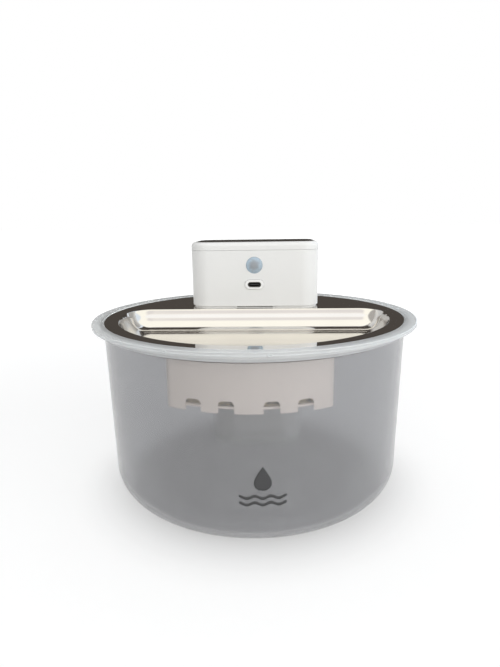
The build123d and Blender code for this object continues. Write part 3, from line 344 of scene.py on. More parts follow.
def surface(name, color, roughness, **sockets):
    """A Principled material; every constant is set on the shader's own socket."""
    material = bpy.data.materials.new(name)
    material.use_nodes = True
    shader = material.node_tree.nodes["Principled BSDF"]
    shader.inputs["Base Color"].default_value = (*color, 1)
    shader.inputs["Roughness"].default_value = roughness
    for socket, value in sockets.items():
        shader.inputs[socket.replace("_", " ")].default_value = value
    material.diffuse_color = (*color, 1)
    return material


def noise_of(material, scale, detail=3.0, stretch=(1, 1, 1), kind="ShaderNodeTexNoise"):
    """A noise or cell pattern in the piece's own coordinates, in 1/m."""
    nodes, links = nodes_of(material)
    place = nodes.new("ShaderNodeTexCoord")
    shape = nodes.new("ShaderNodeMapping")
    shape.inputs["Scale"].default_value = stretch
    texture = nodes.new(kind)
    texture.inputs["Scale"].default_value = scale
    if "Detail" in texture.inputs:
        texture.inputs["Detail"].default_value = detail
    links.new(place.outputs["Object"], shape.inputs["Vector"])
    links.new(shape.outputs["Vector"], texture.inputs["Vector"])
    return texture


def span(material, value, low, high, out_low, out_high):
    """Maps a pattern's range to another range."""
    nodes, links = nodes_of(material)
    node = nodes.new("ShaderNodeMapRange")
    node.clamp = False
    for socket, number in zip(("From Min", "From Max", "To Min", "To Max"), (low, high, out_low, out_high)):
        node.inputs[socket].default_value = number
    links.new(value, node.inputs["Value"])
    return node.outputs["Result"]


def falloff(nodes, links, distance, near, far, low, high):
    """Runs from low to high as a distance goes from near to far, and stays there."""
    node = nodes.new("ShaderNodeMapRange")
    node.interpolation_type = "SMOOTHSTEP"
    for socket, number in zip(("From Min", "From Max", "To Min", "To Max"), (near, far, low, high)):
        node.inputs[socket].default_value = number
    links.new(distance, node.inputs["Value"])
    return node.outputs["Result"]


def product(nodes, links, first, second):
    """Two values multiplied."""
    node = nodes.new("ShaderNodeMath")
    node.operation = "MULTIPLY"
    links.new(first, node.inputs[0])
    links.new(second, node.inputs[1])
    return node.outputs[0]


def two_tone(material, value, dark, light):
    """Base colour that runs between two colours as a pattern goes from 0 to 1."""
    nodes, links = nodes_of(material)
    mix = nodes.new("ShaderNodeMix")
    mix.data_type = "RGBA"           # its colours are inputs 6 and 7 and output 2
    mix.inputs[6].default_value = (*dark, 1)
    mix.inputs[7].default_value = (*light, 1)
    links.new(value, mix.inputs[0])
    links.new(mix.outputs[2], nodes["Principled BSDF"].inputs["Base Color"])


def roughen(material, value, low, high):
    """Roughness that runs from low to high with a noise pattern."""
    nodes, links = nodes_of(material)
    links.new(span(material, value, *NOISE_RANGE, low, high), nodes["Principled BSDF"].inputs["Roughness"])


def emboss(material, value, depth, strength=1.0):
    """Bump from a pattern, with its depth in metres."""
    nodes, links = nodes_of(material)
    bump = nodes.new("ShaderNodeBump")
    bump.inputs["Distance"].default_value = depth
    bump.inputs["Strength"].default_value = strength
    links.new(value, bump.inputs["Height"])
    links.new(bump.outputs["Normal"], nodes["Principled BSDF"].inputs["Normal"])


def speckled(name, color, roughness, spread, grain=2500.0, depth=0.00001, **sockets):
    """Moulded plastic: a faint cloudy tone, a fine grain and uneven gloss."""
    material = surface(name, color, roughness, **sockets)
    cloud = noise_of(material, CLOUD_SCALE)
    dark = tuple(c * (1 - 2 * spread) for c in color)
    two_tone(material, cloud.outputs["Fac"], dark, tuple(min(1.0, c * (1 + 2 * spread)) for c in color))
    roughen(material, cloud.outputs["Fac"], roughness * (1 - GLOSS_SPREAD), roughness * (1 + GLOSS_SPREAD))
    emboss(material, noise_of(material, grain, detail=2.0).outputs["Fac"], depth)
    return material


def frosted(name, color, transmission, roughness):
    """Frosted polypropylene: rough glass over a milky body."""
    material = speckled(name, color, roughness, spread=0.01, grain=1400.0, depth=0.0000012)
    shader = material.node_tree.nodes["Principled BSDF"]
    shader.inputs["Transmission Weight"].default_value = transmission
    shader.inputs["IOR"].default_value = PLASTIC_IOR
    shader.inputs["Specular IOR Level"].default_value = 0.35
    return material


def polished_steel():
    """Deep-drawn steel: a mirror ring round a softer basin, with slow waviness and faint wipe marks."""
    material = surface("steel", (0.74, 0.72, 0.70), roughness=0.07, Metallic=1.0)
    nodes, links = nodes_of(material)
    place = nodes.new("ShaderNodeTexCoord")
    split = nodes.new("ShaderNodeSeparateXYZ")
    links.new(place.outputs["Object"], split.inputs[0])
    deep, shallow = (TRAY_TOP - depth for depth in SOFT_DEPTHS)
    softness = falloff(nodes, links, split.outputs["Z"], deep, shallow, BASIN_SOFTNESS, 0.0)
    wave = noise_of(material, scale=28.0, detail=1.0)
    emboss(material, wave.outputs["Fac"], depth=0.0004, strength=0.04)
    wipe = noise_of(material, scale=90.0, detail=5.0, stretch=(1.0, 4.0, 1.0))
    total = nodes.new("ShaderNodeMath")
    links.new(span(material, wipe.outputs["Fac"], *NOISE_RANGE, *STEEL_ROUGHNESS), total.inputs[0])
    links.new(softness, total.inputs[1])
    links.new(total.outputs[0], nodes["Principled BSDF"].inputs["Roughness"])
    two_tone(material, wave.outputs["Fac"], dark=(0.70, 0.68, 0.66), light=(0.78, 0.76, 0.74))
    return material


def brushed_metal(name, color, roughness, scale=900.0):
    """Metal with fine streaks along Y."""
    material = surface(name, color, roughness, Metallic=1.0)
    brush = noise_of(material, scale, stretch=(1.0, 0.05, 1.0))
    roughen(material, brush.outputs["Fac"], low=roughness - 0.06, high=roughness + 0.08)
    emboss(material, brush.outputs["Fac"], depth=0.00001)
    return material


def fibrous(name, dark, light, scale, depth):
    """Fleece or foam: matte, with a fine random pile."""
    material = surface(name, light, roughness=0.95, Sheen_Weight=0.3)
    pile = noise_of(material, scale, detail=6.0)
    tone = span(material, pile.outputs["Fac"], low=0.35, high=0.65, out_low=0.0, out_high=1.0)
    two_tone(material, tone, dark, light)
    emboss(material, pile.outputs["Fac"], depth)
    return material


def granular():
    """A bed of dark carbon and pale resin grains."""
    material = surface("granules", (0.2, 0.19, 0.18), roughness=0.7)
    cells = noise_of(material, scale=700.0, kind="ShaderNodeTexVoronoi")
    nodes, links = nodes_of(material)
    split = nodes.new("ShaderNodeSeparateColor")
    links.new(cells.outputs["Color"], split.inputs["Color"])
    pale = span(material, split.outputs["Red"], low=0.78, high=0.84, out_low=0.0, out_high=1.0)
    two_tone(material, pale, dark=(0.022, 0.021, 0.02), light=(0.40, 0.32, 0.20))
    emboss(material, cells.outputs["Distance"], depth=-0.0006)
    return material


def fresnel_lens():
    """Milky polyethylene with a mottle of facets; its middle is painted grey, a painted shade for the dark
    sensor behind it.
    """
    material = surface("lens_plastic", (0.70, 0.80, 0.90), roughness=0.24)
    shader = material.node_tree.nodes["Principled BSDF"]
    shader.inputs["Transmission Weight"].default_value = 0.45
    shader.inputs["IOR"].default_value = PLASTIC_IOR
    nodes, links = nodes_of(material)
    low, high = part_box("pir_lens")
    place = nodes.new("ShaderNodeTexCoord")
    away = nodes.new("ShaderNodeVectorMath")
    away.operation = "DISTANCE"
    away.inputs[1].default_value = ((low.x + high.x) / 2, low.y, (low.z + high.z) / 2)
    links.new(place.outputs["Object"], away.inputs[0])
    # painted shade: grey in the middle where the sensor shows through, turning to the bluish tint towards
    # the edge
    rim = falloff(nodes, links, away.outputs["Value"], *LENS_PAINTED_SHADE_FADE, 0.0, 1.0)
    facets = noise_of(material, scale=620.0, kind="ShaderNodeTexVoronoi")
    shade = nodes.new("ShaderNodeSeparateColor")
    links.new(facets.outputs["Color"], shade.inputs["Color"])
    mottle = span(material, shade.outputs["Red"], low=0.0, high=1.0, out_low=0.25, out_high=1.0)
    tint = product(nodes, links, rim, mottle)
    two_tone(material, tint, dark=(0.52, 0.55, 0.585), light=(0.70, 0.86, 1.0))
    emboss(material, facets.outputs["Distance"], depth=0.00008)
    return material


def solder_mask():
    """Green circuit board with faint copper tracks under the mask."""
    material = surface("circuit_board", (0.03, 0.17, 0.07), roughness=0.35, Coat_Weight=0.4)
    tracks = noise_of(material, 260.0, detail=0.0, stretch=(1.0, 1.0, 0.35), kind="ShaderNodeTexVoronoi")
    tone = span(material, tracks.outputs["Distance"], low=0.25, high=0.32, out_low=0.0, out_high=1.0)
    two_tone(material, tone, dark=(0.02, 0.12, 0.045), light=(0.04, 0.22, 0.09))
    emboss(material, tracks.outputs["Distance"], depth=0.00003)
    return material


def wound_copper():
    """Enamelled wire laid in close turns."""
    material = surface("copper", (0.72, 0.30, 0.13), roughness=0.3, Metallic=1.0)
    nodes, links = nodes_of(material)
    place = nodes.new("ShaderNodeTexCoord")
    turns = nodes.new("ShaderNodeTexWave")
    turns.bands_direction = "Z"
    turns.inputs["Scale"].default_value = 900.0
    links.new(place.outputs["Object"], turns.inputs["Vector"])
    emboss(material, turns.outputs["Fac"], depth=0.0002)
    two_tone(material, turns.outputs["Fac"], dark=(0.42, 0.14, 0.05), light=(0.80, 0.36, 0.16))
    return material


def make_materials():
    """One material for each slot of the record."""
    return {
        "frosted_plastic": frosted(
            "frosted_plastic", (0.59, 0.593, 0.605), transmission=0.91, roughness=0.17
        ),
        "steel": polished_steel(),
        "white_plastic": speckled("white_plastic", (0.81, 0.81, 0.80), 0.34, spread=0.006),
        "filter_plastic": speckled("filter_plastic", (0.98, 0.89, 0.83), 0.45, spread=0.01),
        "black_gloss": speckled(
            "black_gloss", (0.012, 0.012, 0.014), 0.12, spread=0.1, depth=0.000002, Specular_IOR_Level=0.3
        ),
        "lens_plastic": fresnel_lens(),
        "clear_plastic": speckled(
            "clear_plastic", (0.85, 0.88, 0.9), 0.15, spread=0.02, Transmission_Weight=0.8
        ),
        "silicone": speckled("silicone", (0.72, 0.72, 0.70), 0.55, spread=0.03, Transmission_Weight=0.3),
        "cotton": fibrous("cotton", (0.70, 0.68, 0.63), (0.88, 0.87, 0.84), scale=1800.0, depth=0.0004),
        "granules": granular(),
        "sponge": fibrous("sponge", (0.008, 0.008, 0.009), (0.09, 0.09, 0.095), scale=1500.0, depth=0.0006),
        "circuit_board": solder_mask(),
        "black_plastic": speckled("black_plastic", (0.022, 0.022, 0.024), 0.42, spread=0.08),
        "pump_plastic": speckled("pump_plastic", (0.54, 0.54, 0.54), 0.42, spread=0.02),
        "cell_wrap": speckled(
            "cell_wrap", (0.05, 0.16, 0.42), 0.32, spread=0.06, grain=900.0, depth=0.00002, Coat_Weight=0.3
        ),
        "nickel": brushed_metal("nickel", (0.62, 0.60, 0.56), 0.26),
        "screw_steel": brushed_metal("screw_steel", (0.55, 0.55, 0.56), 0.30),
        "core_steel": brushed_metal("core_steel", (0.28, 0.28, 0.29), 0.42, scale=3000.0),
        "copper": wound_copper(),
        "ferrite": speckled(
            "ferrite", (0.035, 0.035, 0.038), 0.5, spread=0.12, grain=1800.0, depth=0.00003
        ),
        "ceramic": speckled("ceramic", (0.86, 0.86, 0.84), 0.12, spread=0.01),
        "lead_sheath": speckled("lead_sheath", (0.014, 0.014, 0.015), 0.5, spread=0.1),
        "lead_red": speckled("lead_red", (0.42, 0.016, 0.012), 0.45, spread=0.06),
    }


# ---------------------------------------------------------------- tank
def build_tank(wall_material, thick_rim_material_with_painted_light):
    """The tank as one turned shell: wall, collar, grooved rim, and the seat and ledge for the tray."""
    rim_under = TANK_TOP - RIM_LIP
    collar_foot = rim_under - COLLAR_RISE
    slope_foot = collar_foot - COLLAR_RISE
    corners = [                      # each with the radius that rounds it
        ((0, 0), 0),
        ((WALL_FOOT_RADIUS, 0), FOOT_ROUND),
        ((WALL_FOOT_RADIUS + WALL_SLOPE * slope_foot, slope_foot), SLOPE_ROUND),
        ((COLLAR_RADIUS, collar_foot), COLLAR_ROUND),
        ((COLLAR_RADIUS, rim_under), STEP_ROUND),
        ((RIM_RADIUS, rim_under), RIM_ROUND[0]),
        ((RIM_RADIUS, RIM_GROOVE_Z - RIM_GROOVE), GROOVE_ROUND),
        ((RIM_RADIUS - RIM_GROOVE, RIM_GROOVE_Z), GROOVE_ROUND),
        ((RIM_RADIUS, RIM_GROOVE_Z + RIM_GROOVE), GROOVE_ROUND),
        ((RIM_RADIUS, TANK_TOP), RIM_ROUND[1]),
        ((SEAT_RADIUS, TANK_TOP), STEP_ROUND),
        ((SEAT_RADIUS, SEAT_Z), SEAT_ROUND),
        ((LEDGE_RADIUS, SEAT_Z), STEP_ROUND),
        ((WALL_FOOT_RADIUS - WALL + WALL_SLOPE * TANK_FLOOR, TANK_FLOOR), FOOT_ROUND - WALL),
        ((0, TANK_FLOOR), 0),
    ]
    points, radii = zip(*corners)
    tank = weighted(lathe("tank_shell", rounded(points, radii, steps=10), TANK_TURNS))
    tank.data.materials.append(wall_material)
    tank.data.materials.append(thick_rim_material_with_painted_light)
    for face in tank.data.polygons:       # the rim and the collar take the paler plastic, paler partly for their thicker plastic and partly as painted light that they catch
        face.material_index = 1 if face.center.z > slope_foot else 0
    tank.visible_shadow = False       # the lamps shine through the frosted wall
    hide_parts("tank")
    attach(tank, "tank")


# ---------------------------------------------------------------- tray
def basin_outline(inset):
    """D outline of the basin, shrunk by an inset: one long arc, two corner arcs and a straight back."""
    radius = BASIN_RADIUS - inset
    corner = BASIN_CORNER - inset
    centre_y = BASIN_BACK_Y - BASIN_CORNER
    centre_x = math.sqrt((BASIN_RADIUS - BASIN_CORNER) ** 2 - centre_y**2)
    start = math.atan2(centre_y, centre_x)
    points = []
    corner_steps, arc_steps, back_steps = 28, 200, 48
    for step in range(corner_steps):
        turn = start + (math.pi / 2 - start) * step / corner_steps
        points.append((centre_x + corner * math.cos(turn), centre_y + corner * math.sin(turn)))
    for step in range(back_steps):
        share = step / back_steps
        points.append((centre_x * (1 - 2 * share), BASIN_BACK_Y - inset))
    for step in range(corner_steps):
        turn = math.pi / 2 + (math.pi / 2 - start) * step / corner_steps
        points.append((-centre_x + corner * math.cos(turn), centre_y + corner * math.sin(turn)))
    for step in range(arc_steps):
        turn = math.pi - start + (math.pi + 2 * start) * step / arc_steps
        points.append((radius * math.cos(turn), radius * math.sin(turn)))
    return points


def basin_section():
    """The wall from the lip to the floor as (inset, height): bend after bend."""
    inset, fall, slope = BASIN_LIP_INSET, 0.0, 0.0
    points = [(inset, fall)]
    for radius, degrees in BASIN_BENDS:
        turn = math.radians(degrees) - slope
        steps = max(BASIN_LEAST_STEPS, round(radius * abs(turn) / BASIN_STEP))
        for _ in range(steps):
            middle = slope + turn / steps / 2
            length = radius * abs(turn) / steps
            inset += length * math.cos(middle)
            fall += length * math.sin(middle)
            slope += turn / steps
            points.append((inset, fall))
    return [(x, TRAY_TOP - BASIN_DEPTH * y / fall) for x, y in points]


def build_tray(material):
    """The tray's upper skin with its basin, drain sump and slots, given the sheet's thickness downwards."""
    floor_z = TRAY_TOP - BASIN_DEPTH
    bm = bmesh.new()
    rings = [ring_of(bm, basin_outline(inset), height) for inset, height in basin_section()]
    skin(bm, rings)
    edge = ring_of(bm, circle(TRAY_RADIUS, TRAY_TURNS), TRAY_TOP)
    opening = ring_of(bm, stadium(OPENING_LENGTH, OPENING_WIDTH, 0, HEAD_Y, OPENING_STEPS), TRAY_TOP)
    flat_face(bm, edge, rings[0], opening)
    sump_z = floor_z - SUMP_DEPTH
    straight = 2 * SUMP_ROUND        # lead-in and lead-out of the section, dropped again below
    section = [(-straight, floor_z), (0, floor_z), (0, sump_z), (straight, sump_z)]
    sump = []
    for inset, height in rounded(section, [0, SUMP_ROUND, SUMP_ROUND, 0], steps=5)[1:-1]:
        outline = stadium(SUMP_LENGTH - 2 * inset, SUMP_WIDTH - 2 * inset, 0, SUMP_Y)
        sump.append(ring_of(bm, outline, height))
    skin(bm, sump)
    flat_face(bm, rings[-1], sump[0])
    slots = []
    for index in range(SLOT_COUNT):
        x = (index - (SLOT_COUNT - 1) / 2) * SLOT_PITCH
        outline = stadium(SLOT_LENGTH, SLOT_WIDTH, x, SUMP_Y, steps=8, upright=True)
        slots.append(ring_of(bm, outline, sump_z))
    flat_face(bm, sump[-1], *slots)
    tray = new_object("tray_skin", bm)
    if sum(face.normal.z * face.area for face in tray.data.polygons) < 0:
        tray.data.flip_normals()
    thick = tray.modifiers.new("sheet", "SOLIDIFY")
    thick.thickness = SHEET
    thick.offset = -1
    thick.use_even_offset = True
    edge_round = tray.modifiers.new("edges", "BEVEL")
    edge_round.width = SHEET_EDGE
    edge_round.segments = 2
    edge_round.limit_method = "ANGLE"
    edge_round.angle_limit = SHEET_EDGE_ANGLE
    weighted(tray)
    tray.data.materials.append(material)
    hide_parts("drinking_tray")
    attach(tray, "tray")


# ---------------------------------------------------------------- print
def on_tank(across, height, lift):
    """A point on the tank's wall, with across measured round it from the middle of the front."""
    radius = WALL_FOOT_RADIUS + WALL_SLOPE * height + lift
    turn = across / radius - math.pi / 2
    return radius * math.cos(turn), radius * math.sin(turn), height


def drop_outline():
    """A water drop one unit high, its point at the top."""
    points = []
    for index in range(DROP_POINTS):
        turn = 2 * math.pi * index / DROP_POINTS
        half = DROP_HALF_WIDTH * math.sin(turn / 2) ** DROP_TAPER
        points.append((half * math.sin(turn), 0.5 * math.cos(turn)))
    return points


def build_print(material):
    """A plain water mark: a drop over two ripples, printed on the tank's front."""
    bm = bmesh.new()
    rings = []
    for share in DROP_RINGS:
        ring = []
        for x, z in drop_outline():
            across = PRINT_X + PRINT_DROP * share * x
            height = PRINT_DROP_Z + PRINT_DROP * (share * (z + DROP_MIDDLE) - DROP_MIDDLE)
            ring.append(bm.verts.new(on_tank(across, height, PRINT_LIFT)))
        rings.append(ring)
    middle = on_tank(PRINT_X, PRINT_DROP_Z - DROP_MIDDLE * PRINT_DROP, PRINT_LIFT)
    rings.append([bm.verts.new(middle)])
    skin(bm, rings)
    for row_z in RIPPLE_HEIGHTS:
        before = None
        for step in range(RIPPLE_STEPS + 1):
            share = step / RIPPLE_STEPS
            across = PRINT_X + RIPPLE_WIDTH * (share - 0.5)
            height = row_z + RIPPLE_SWELL * math.cos(2 * math.pi * RIPPLE_WAVES * share)
            end = min(share, 1 - share) * RIPPLE_WIDTH / (RIPPLE_STROKE / 2)
            half = RIPPLE_STROKE / 2 * math.sqrt(1 - max(0.0, 1 - end) ** 2 * RIPPLE_END_ROUND)
            pair = [bm.verts.new(on_tank(across, height + side * half, PRINT_LIFT)) for side in (-1, 1)]
            if before:
                bm.faces.new((before[0], pair[0], pair[1], before[1]))
            before = pair
    mark = new_object("water_mark", bm)
    if sum(face.normal.y * face.area for face in mark.data.polygons) > 0:
        mark.data.flip_normals()
    ink = mark.modifiers.new("ink", "SOLIDIFY")
    ink.thickness = PRINT_LIFT
    ink.offset = 1
    mark.data.materials.append(material)
    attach(mark, "tank")


# ---------------------------------------------------------------- rim marks
def build_rim_marks(material):
    """Small moulding marks on the rim's edge: shallow domes with a dimple."""
    across, up = MARK_STRETCH
    for number, degrees in enumerate(MARK_TURNS):
        mark = lathe("rim_mark_" + str(number + 1), MARK_PROFILE, MARK_SEGMENTS)
        turn = math.radians(degrees)
        outward = Vector((math.cos(turn), math.sin(turn), 0))
        side = Vector((-math.sin(turn), math.cos(turn), 0))
        place = Matrix.Translation(outward * RIM_RADIUS + Vector((0, 0, MARK_Z)))
        axes = Matrix((side * across, Vector((0, 0, up)), outward)).transposed().to_4x4()
        mark.data.transform(place @ axes)
        mark.data.materials.append(material)
        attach(mark, "tank")


# ---------------------------------------------------------------- lens
def build_lens(material):
    """The sensor's lens: a shallow dome cut into small flat facets, with its barrel and flange."""
    low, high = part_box("pir_lens")
    centre = (low + high) / 2
    dome_radius = (LENS_RADIUS**2 + LENS_PROUD**2) / (2 * LENS_PROUD)
    bm = bmesh.new()
    outline = [
        (0, LENS_PROUD + LENS_SPARE),
        (LENS_RADIUS, LENS_PROUD + LENS_SPARE),
        (LENS_RADIUS, -LENS_WALL),
        (LENS_RADIUS + LENS_FLANGE, -LENS_WALL),
        (LENS_RADIUS + LENS_FLANGE, -LENS_WALL - LENS_SKIN),
        (LENS_RADIUS - LENS_SKIN, -LENS_WALL - LENS_SKIN),
        (LENS_RADIUS - LENS_SKIN, 0),
        (0, LENS_PROUD - LENS_SKIN),
    ]
    turned(bm, outline, LENS_SEGMENTS)
    bmesh.ops.recalc_face_normals(bm, faces=bm.faces)
    row_pitch = LENS_PITCH * math.sin(math.radians(60))
    for row in range(-LENS_ROWS, LENS_ROWS + 1):
        for column in range(-LENS_ROWS, LENS_ROWS + 1):
            x = LENS_PITCH * (column + 0.5 * (row % 2))
            y = row_pitch * row
            if math.hypot(x, y) > LENS_RADIUS:
                continue
            height = math.sqrt(dome_radius**2 - x * x - y * y)
            out = Vector((x, y, height)) / dome_radius
            touch = out * dome_radius - Vector((0, 0, dome_radius - LENS_PROUD))
            whole = bm.verts[:] + bm.edges[:] + bm.faces[:]
            cut = bmesh.ops.bisect_plane(bm, geom=whole, plane_co=touch, plane_no=out, clear_outer=True)
            edges = [item for item in cut["geom_cut"] if isinstance(item, bmesh.types.BMEdge)]
            bmesh.ops.edgenet_fill(bm, edges=edges)
    place = Matrix.Translation((centre.x, low.y + LENS_PROUD, centre.z))
    bm.transform(place @ Matrix.Rotation(math.pi / 2, 4, "X"))
    lens = new_object("lens_facets", bm, LENS_CREASE)
    lens.data.materials.append(material)
    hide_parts("pir_lens")
    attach(lens, "head")


# ---------------------------------------------------------------- filter layers and sponge
def remeshed(name, node, voxel, passes):
    """A fine even mesh in the space of a CAD node, its edges rounded by smoothing."""
    base = bpy.data.objects.new(name + "_base", NODES[node].data.copy())
    bpy.context.scene.collection.objects.link(base)
    remesh = base.modifiers.new("remesh", "REMESH")
    remesh.mode = "VOXEL"
    remesh.voxel_size = voxel
    graph = bpy.context.evaluated_depsgraph_get()
    bm = bmesh.new()
    bm.from_mesh(base.evaluated_get(graph).to_mesh())
    bpy.data.objects.remove(base)
    axes = {"use_axis_x": True, "use_axis_y": True, "use_axis_z": True}
    for _ in range(passes):
        bmesh.ops.smooth_vert(bm, verts=bm.verts, factor=0.5, **axes)
    bm.normal_update()
    return bm


def finish_layer(bm, name, node, body, material):
    """The layer as a smooth piece that stands for its node and rides on the body."""
    item = new_object(name, bm, sharp=math.pi)
    item.data.materials.append(material)
    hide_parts(node)
    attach(item, body)
    return item


def build_layers(materials):
    """The bed of granules, carved into grains, and the fleece and foam pads with their pile."""
    media = remeshed("granule_bed", "filter_media", GRAIN_VOXEL, GRAIN_SMOOTHING)
    moves = []
    for vert in media.verts:
        distances, _ = noise.voronoi(vert.co / GRAIN_PITCH)
        moves.append(vert.normal * (-GRAIN_DEPTH * min(1.0, distances[0] * GRAIN_GAIN)))
    for vert, move in zip(media.verts, moves):
        vert.co += move
    finish_layer(media, "granule_bed", "filter_media", "filter", materials["granules"])
    for name, node, body, voxel, pitch, depth, fill in SOFT_LAYERS:
        pad = remeshed(name, node, voxel, SOFT_SMOOTHING)
        moves = []
        for vert in pad.verts:
            rough = noise.fractal(vert.co / pitch, *PILE_FRACTAL)
            moves.append(vert.normal * (-depth * min(1.0, abs(rough) * PILE_GAIN)))
        for vert, move in zip(pad.verts, moves):
            vert.co += move
        finish_layer(pad, name, node, body, materials[SLOT_OF[node]])


# ---------------------------------------------------------------- dressing of the CAD nodes
def dress_nodes(materials):
    """Every CAD node gets its slot's material; the socket's parts get their own."""
    for name, item in NODES.items():
        item.data.materials.clear()
        item.data.materials.append(materials[SLOT_OF[name]])
    bright = speckled("bright_plastic", (0.88, 0.88, 0.87), 0.22, spread=0.008, Coat_Weight=0.3)
    NODES["usb_bezel"].data.materials[0] = bright
    # the socket's shell is painted dark brown, a painted shade for the deep recess it sits in
    NODES["usb_shell"].data.materials[0] = brushed_metal("nickel_with_painted_shade", (0.16, 0.15, 0.14), 0.35)


# ---------------------------------------------------------------- stage
def pale_for_picture(nodes, links, plain, pale, output):
    """Shows the pale shader to the camera and in gloss and glass, and the plain one to everything else."""
    path = nodes.new("ShaderNodeLightPath")
    total = path.outputs["Is Camera Ray"]
    for ray in ("Is Glossy Ray", "Is Transmission Ray"):
        add = nodes.new("ShaderNodeMath")
        add.operation = "MAXIMUM"
        links.new(total, add.inputs[0])
        links.new(path.outputs[ray], add.inputs[1])
        total = add.outputs[0]
    mix = nodes.new("ShaderNodeMixShader")
    links.new(total, mix.inputs[0])
    links.new(plain, mix.inputs[1])
    links.new(pale, mix.inputs[2])
    links.new(mix.outputs[0], output)


def build_world():
    """A soft even sky that the picture shows as white."""
    world = bpy.data.worlds.new("studio")
    bpy.context.scene.world = world
    world.use_nodes = True
    nodes, links = world.node_tree.nodes, world.node_tree.links
    nodes.clear()
    output = nodes.new("ShaderNodeOutputWorld")
    light = nodes.new("ShaderNodeBackground")
    light.inputs["Color"].default_value = (*SKY_COLOR, 1)
    light.inputs["Strength"].default_value = SKY_LIGHT
    pale = nodes.new("ShaderNodeBackground")
    pale.inputs["Color"].default_value = (1, 1, 1, 1)
    pale.inputs["Strength"].default_value = 1.0
    pale_for_picture(nodes, links, light.outputs[0], pale.outputs[0], output.inputs["Surface"])


def build_floor():
    """A pale floor that keeps the object's shadow, with a painted shadow that darkens it underneath the
    tank.
    """
    bm = bmesh.new()
    bmesh.ops.create_grid(bm, x_segments=1, y_segments=1, size=FLOOR_SIZE)
    floor = new_object("floor", bm)
    material = bpy.data.materials.new("floor")
    material.use_nodes = True
    nodes, links = nodes_of(material)
    nodes.clear()
    output = nodes.new("ShaderNodeOutputMaterial")
    plain = nodes.new("ShaderNodeBsdfDiffuse")
    plain.inputs["Color"].default_value = (*FLOOR_COLOR, 1)
    shaded = nodes.new("ShaderNodeBsdfDiffuse")
    glow = nodes.new("ShaderNodeEmission")
    place = nodes.new("ShaderNodeTexCoord")
    reach = nodes.new("ShaderNodeVectorMath")
    reach.operation = "LENGTH"
    links.new(place.outputs["Object"], reach.inputs[0])
    distance = reach.outputs["Value"]
    # painted shadow: the floor's colour and glow drop under the tank
    tone = falloff(nodes, links, distance, *PAINTED_SHADOW_RADII, *FLOOR_TONE_WITH_PAINTED_SHADOW)
    links.new(tone, shaded.inputs["Color"])
    near = falloff(nodes, links, distance, *PAINTED_SHADOW_RADII, *FLOOR_GLOW_WITH_PAINTED_SHADOW)
    far = falloff(nodes, links, distance, *FLOOR_FADE, 1.0, FLOOR_FAR)
    links.new(product(nodes, links, near, far), glow.inputs["Strength"])
    both = nodes.new("ShaderNodeAddShader")
    links.new(shaded.outputs[0], both.inputs[0])
    links.new(glow.outputs[0], both.inputs[1])
    pale_for_picture(nodes, links, plain.outputs[0], both.outputs[0], output.inputs["Surface"])
    floor.data.materials.append(material)


def pane_mask(nodes, links, value, low, high, soft):
    """One between low and high, and nothing beyond the soft edges."""
    rise = falloff(nodes, links, value, low - soft / 2, low + soft / 2, 0.0, 1.0)
    fall = falloff(nodes, links, value, high - soft / 2, high + soft / 2, 1.0, 0.0)
    return product(nodes, links, rise, fall)


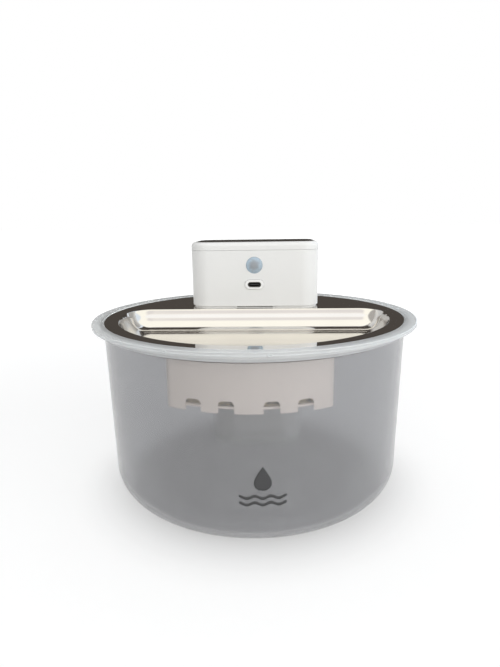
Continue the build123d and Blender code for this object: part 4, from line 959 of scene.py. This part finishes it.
def build_room():
    """A dome that only gloss and glass see: dark behind the object, light overhead and at the sides.

    Its panes are bounded by the direction's X, and by the angle from the back over the zenith to the front.
    """
    bm = bmesh.new()
    around, upward = ROOM_SEGMENTS
    bmesh.ops.create_uvsphere(bm, u_segments=around, v_segments=upward, radius=ROOM_RADIUS)
    below = [vert for vert in bm.verts if vert.co.z < ROOM_FOOT]
    bmesh.ops.delete(bm, geom=below, context="VERTS")
    room = new_object("room", bm)
    material = bpy.data.materials.new("room")
    material.use_nodes = True
    nodes, links = nodes_of(material)
    nodes.clear()
    place = nodes.new("ShaderNodeTexCoord")
    way = nodes.new("ShaderNodeVectorMath")
    way.operation = "NORMALIZE"
    links.new(place.outputs["Object"], way.inputs[0])
    split = nodes.new("ShaderNodeSeparateXYZ")
    links.new(way.outputs[0], split.inputs[0])
    climb = nodes.new("ShaderNodeMath")
    climb.operation = "ARCTAN2"
    links.new(split.outputs["Z"], climb.inputs[0])
    links.new(split.outputs["Y"], climb.inputs[1])
    degrees = nodes.new("ShaderNodeMath")
    degrees.operation = "DEGREES"
    links.new(climb.outputs[0], degrees.inputs[0])
    shader = nodes.new("ShaderNodeBsdfTransparent").outputs[0]
    for color, sides, heights, (side_soft, height_soft) in ROOM_PANES:
        across = pane_mask(nodes, links, split.outputs["X"], *sides, side_soft)
        along = pane_mask(nodes, links, degrees.outputs[0], *heights, height_soft)
        glow = nodes.new("ShaderNodeEmission")
        glow.inputs["Color"].default_value = (*color, 1)
        mix = nodes.new("ShaderNodeMixShader")
        links.new(product(nodes, links, across, along), mix.inputs[0])
        links.new(shader, mix.inputs[1])
        links.new(glow.outputs[0], mix.inputs[2])
        shader = mix.outputs[0]
    output = nodes.new("ShaderNodeOutputMaterial")
    links.new(shader, output.inputs["Surface"])
    room.data.materials.append(material)
    room.visible_camera = False
    room.visible_diffuse = False
    room.visible_shadow = False


def build_lights():
    """Soft rectangular lamps that gloss doesn't see."""
    for name, place, size, power, color in LAMPS:
        light = bpy.data.lights.new(name, "AREA")
        light.shape = "RECTANGLE"
        light.size, light.size_y = size
        light.energy = power
        light.color = color
        item = bpy.data.objects.new(name, light)
        item.location = place
        item.rotation_euler = (Vector(LAMP_AIM) - Vector(place)).to_track_quat("-Z", "Y").to_euler()
        item.visible_glossy = False
        bpy.context.scene.collection.objects.link(item)


def build_camera():
    """The camera that was fitted to the photograph."""
    camera = bpy.data.objects.new("camera", bpy.data.cameras.new("camera"))
    bpy.context.scene.collection.objects.link(camera)
    camera.data.lens = FOCAL_PIXELS / IMAGE_HEIGHT * SENSOR
    camera.data.sensor_width = SENSOR
    place = Vector((math.sin(CAMERA_TURN), -math.cos(CAMERA_TURN), 0)) * CAMERA_DISTANCE
    place.z = CAMERA_HEIGHT
    level = Vector((-math.sin(CAMERA_HEADING), math.cos(CAMERA_HEADING), 0))
    ahead = level * math.cos(CAMERA_PITCH) - Vector((0, 0, math.sin(CAMERA_PITCH)))
    right = ahead.cross(Vector((0, 0, 1))).normalized()
    up = right.cross(ahead)
    cos, sin = math.cos(CAMERA_ROLL), math.sin(CAMERA_ROLL)
    axes = (right * cos - up * sin, right * sin + up * cos, -ahead)
    camera.matrix_world = Matrix.Translation(place) @ Matrix(axes).transposed().to_4x4()
    bpy.context.scene.camera = camera


# ---------------------------------------------------------------- the scene
materials = make_materials()
dress_nodes(materials)
# paler and less clear than the wall: partly the rim's thicker plastic, partly painted light on the rim and
# collar
thick_rim_with_painted_light = frosted("frosted_thick_rim_with_painted_light", (0.86, 0.88, 0.89), transmission=0.52, roughness=0.17)
build_tank(materials["frosted_plastic"], thick_rim_with_painted_light)
build_tray(materials["steel"])
build_print(speckled("ink", (0.042, 0.042, 0.044), 0.5, spread=0.06))
build_rim_marks(thick_rim_with_painted_light)
build_lens(materials["lens_plastic"])
build_layers(materials)

build_world()
build_floor()
build_room()
build_lights()
build_camera()
bpy.context.scene.view_settings.view_transform = "Standard"
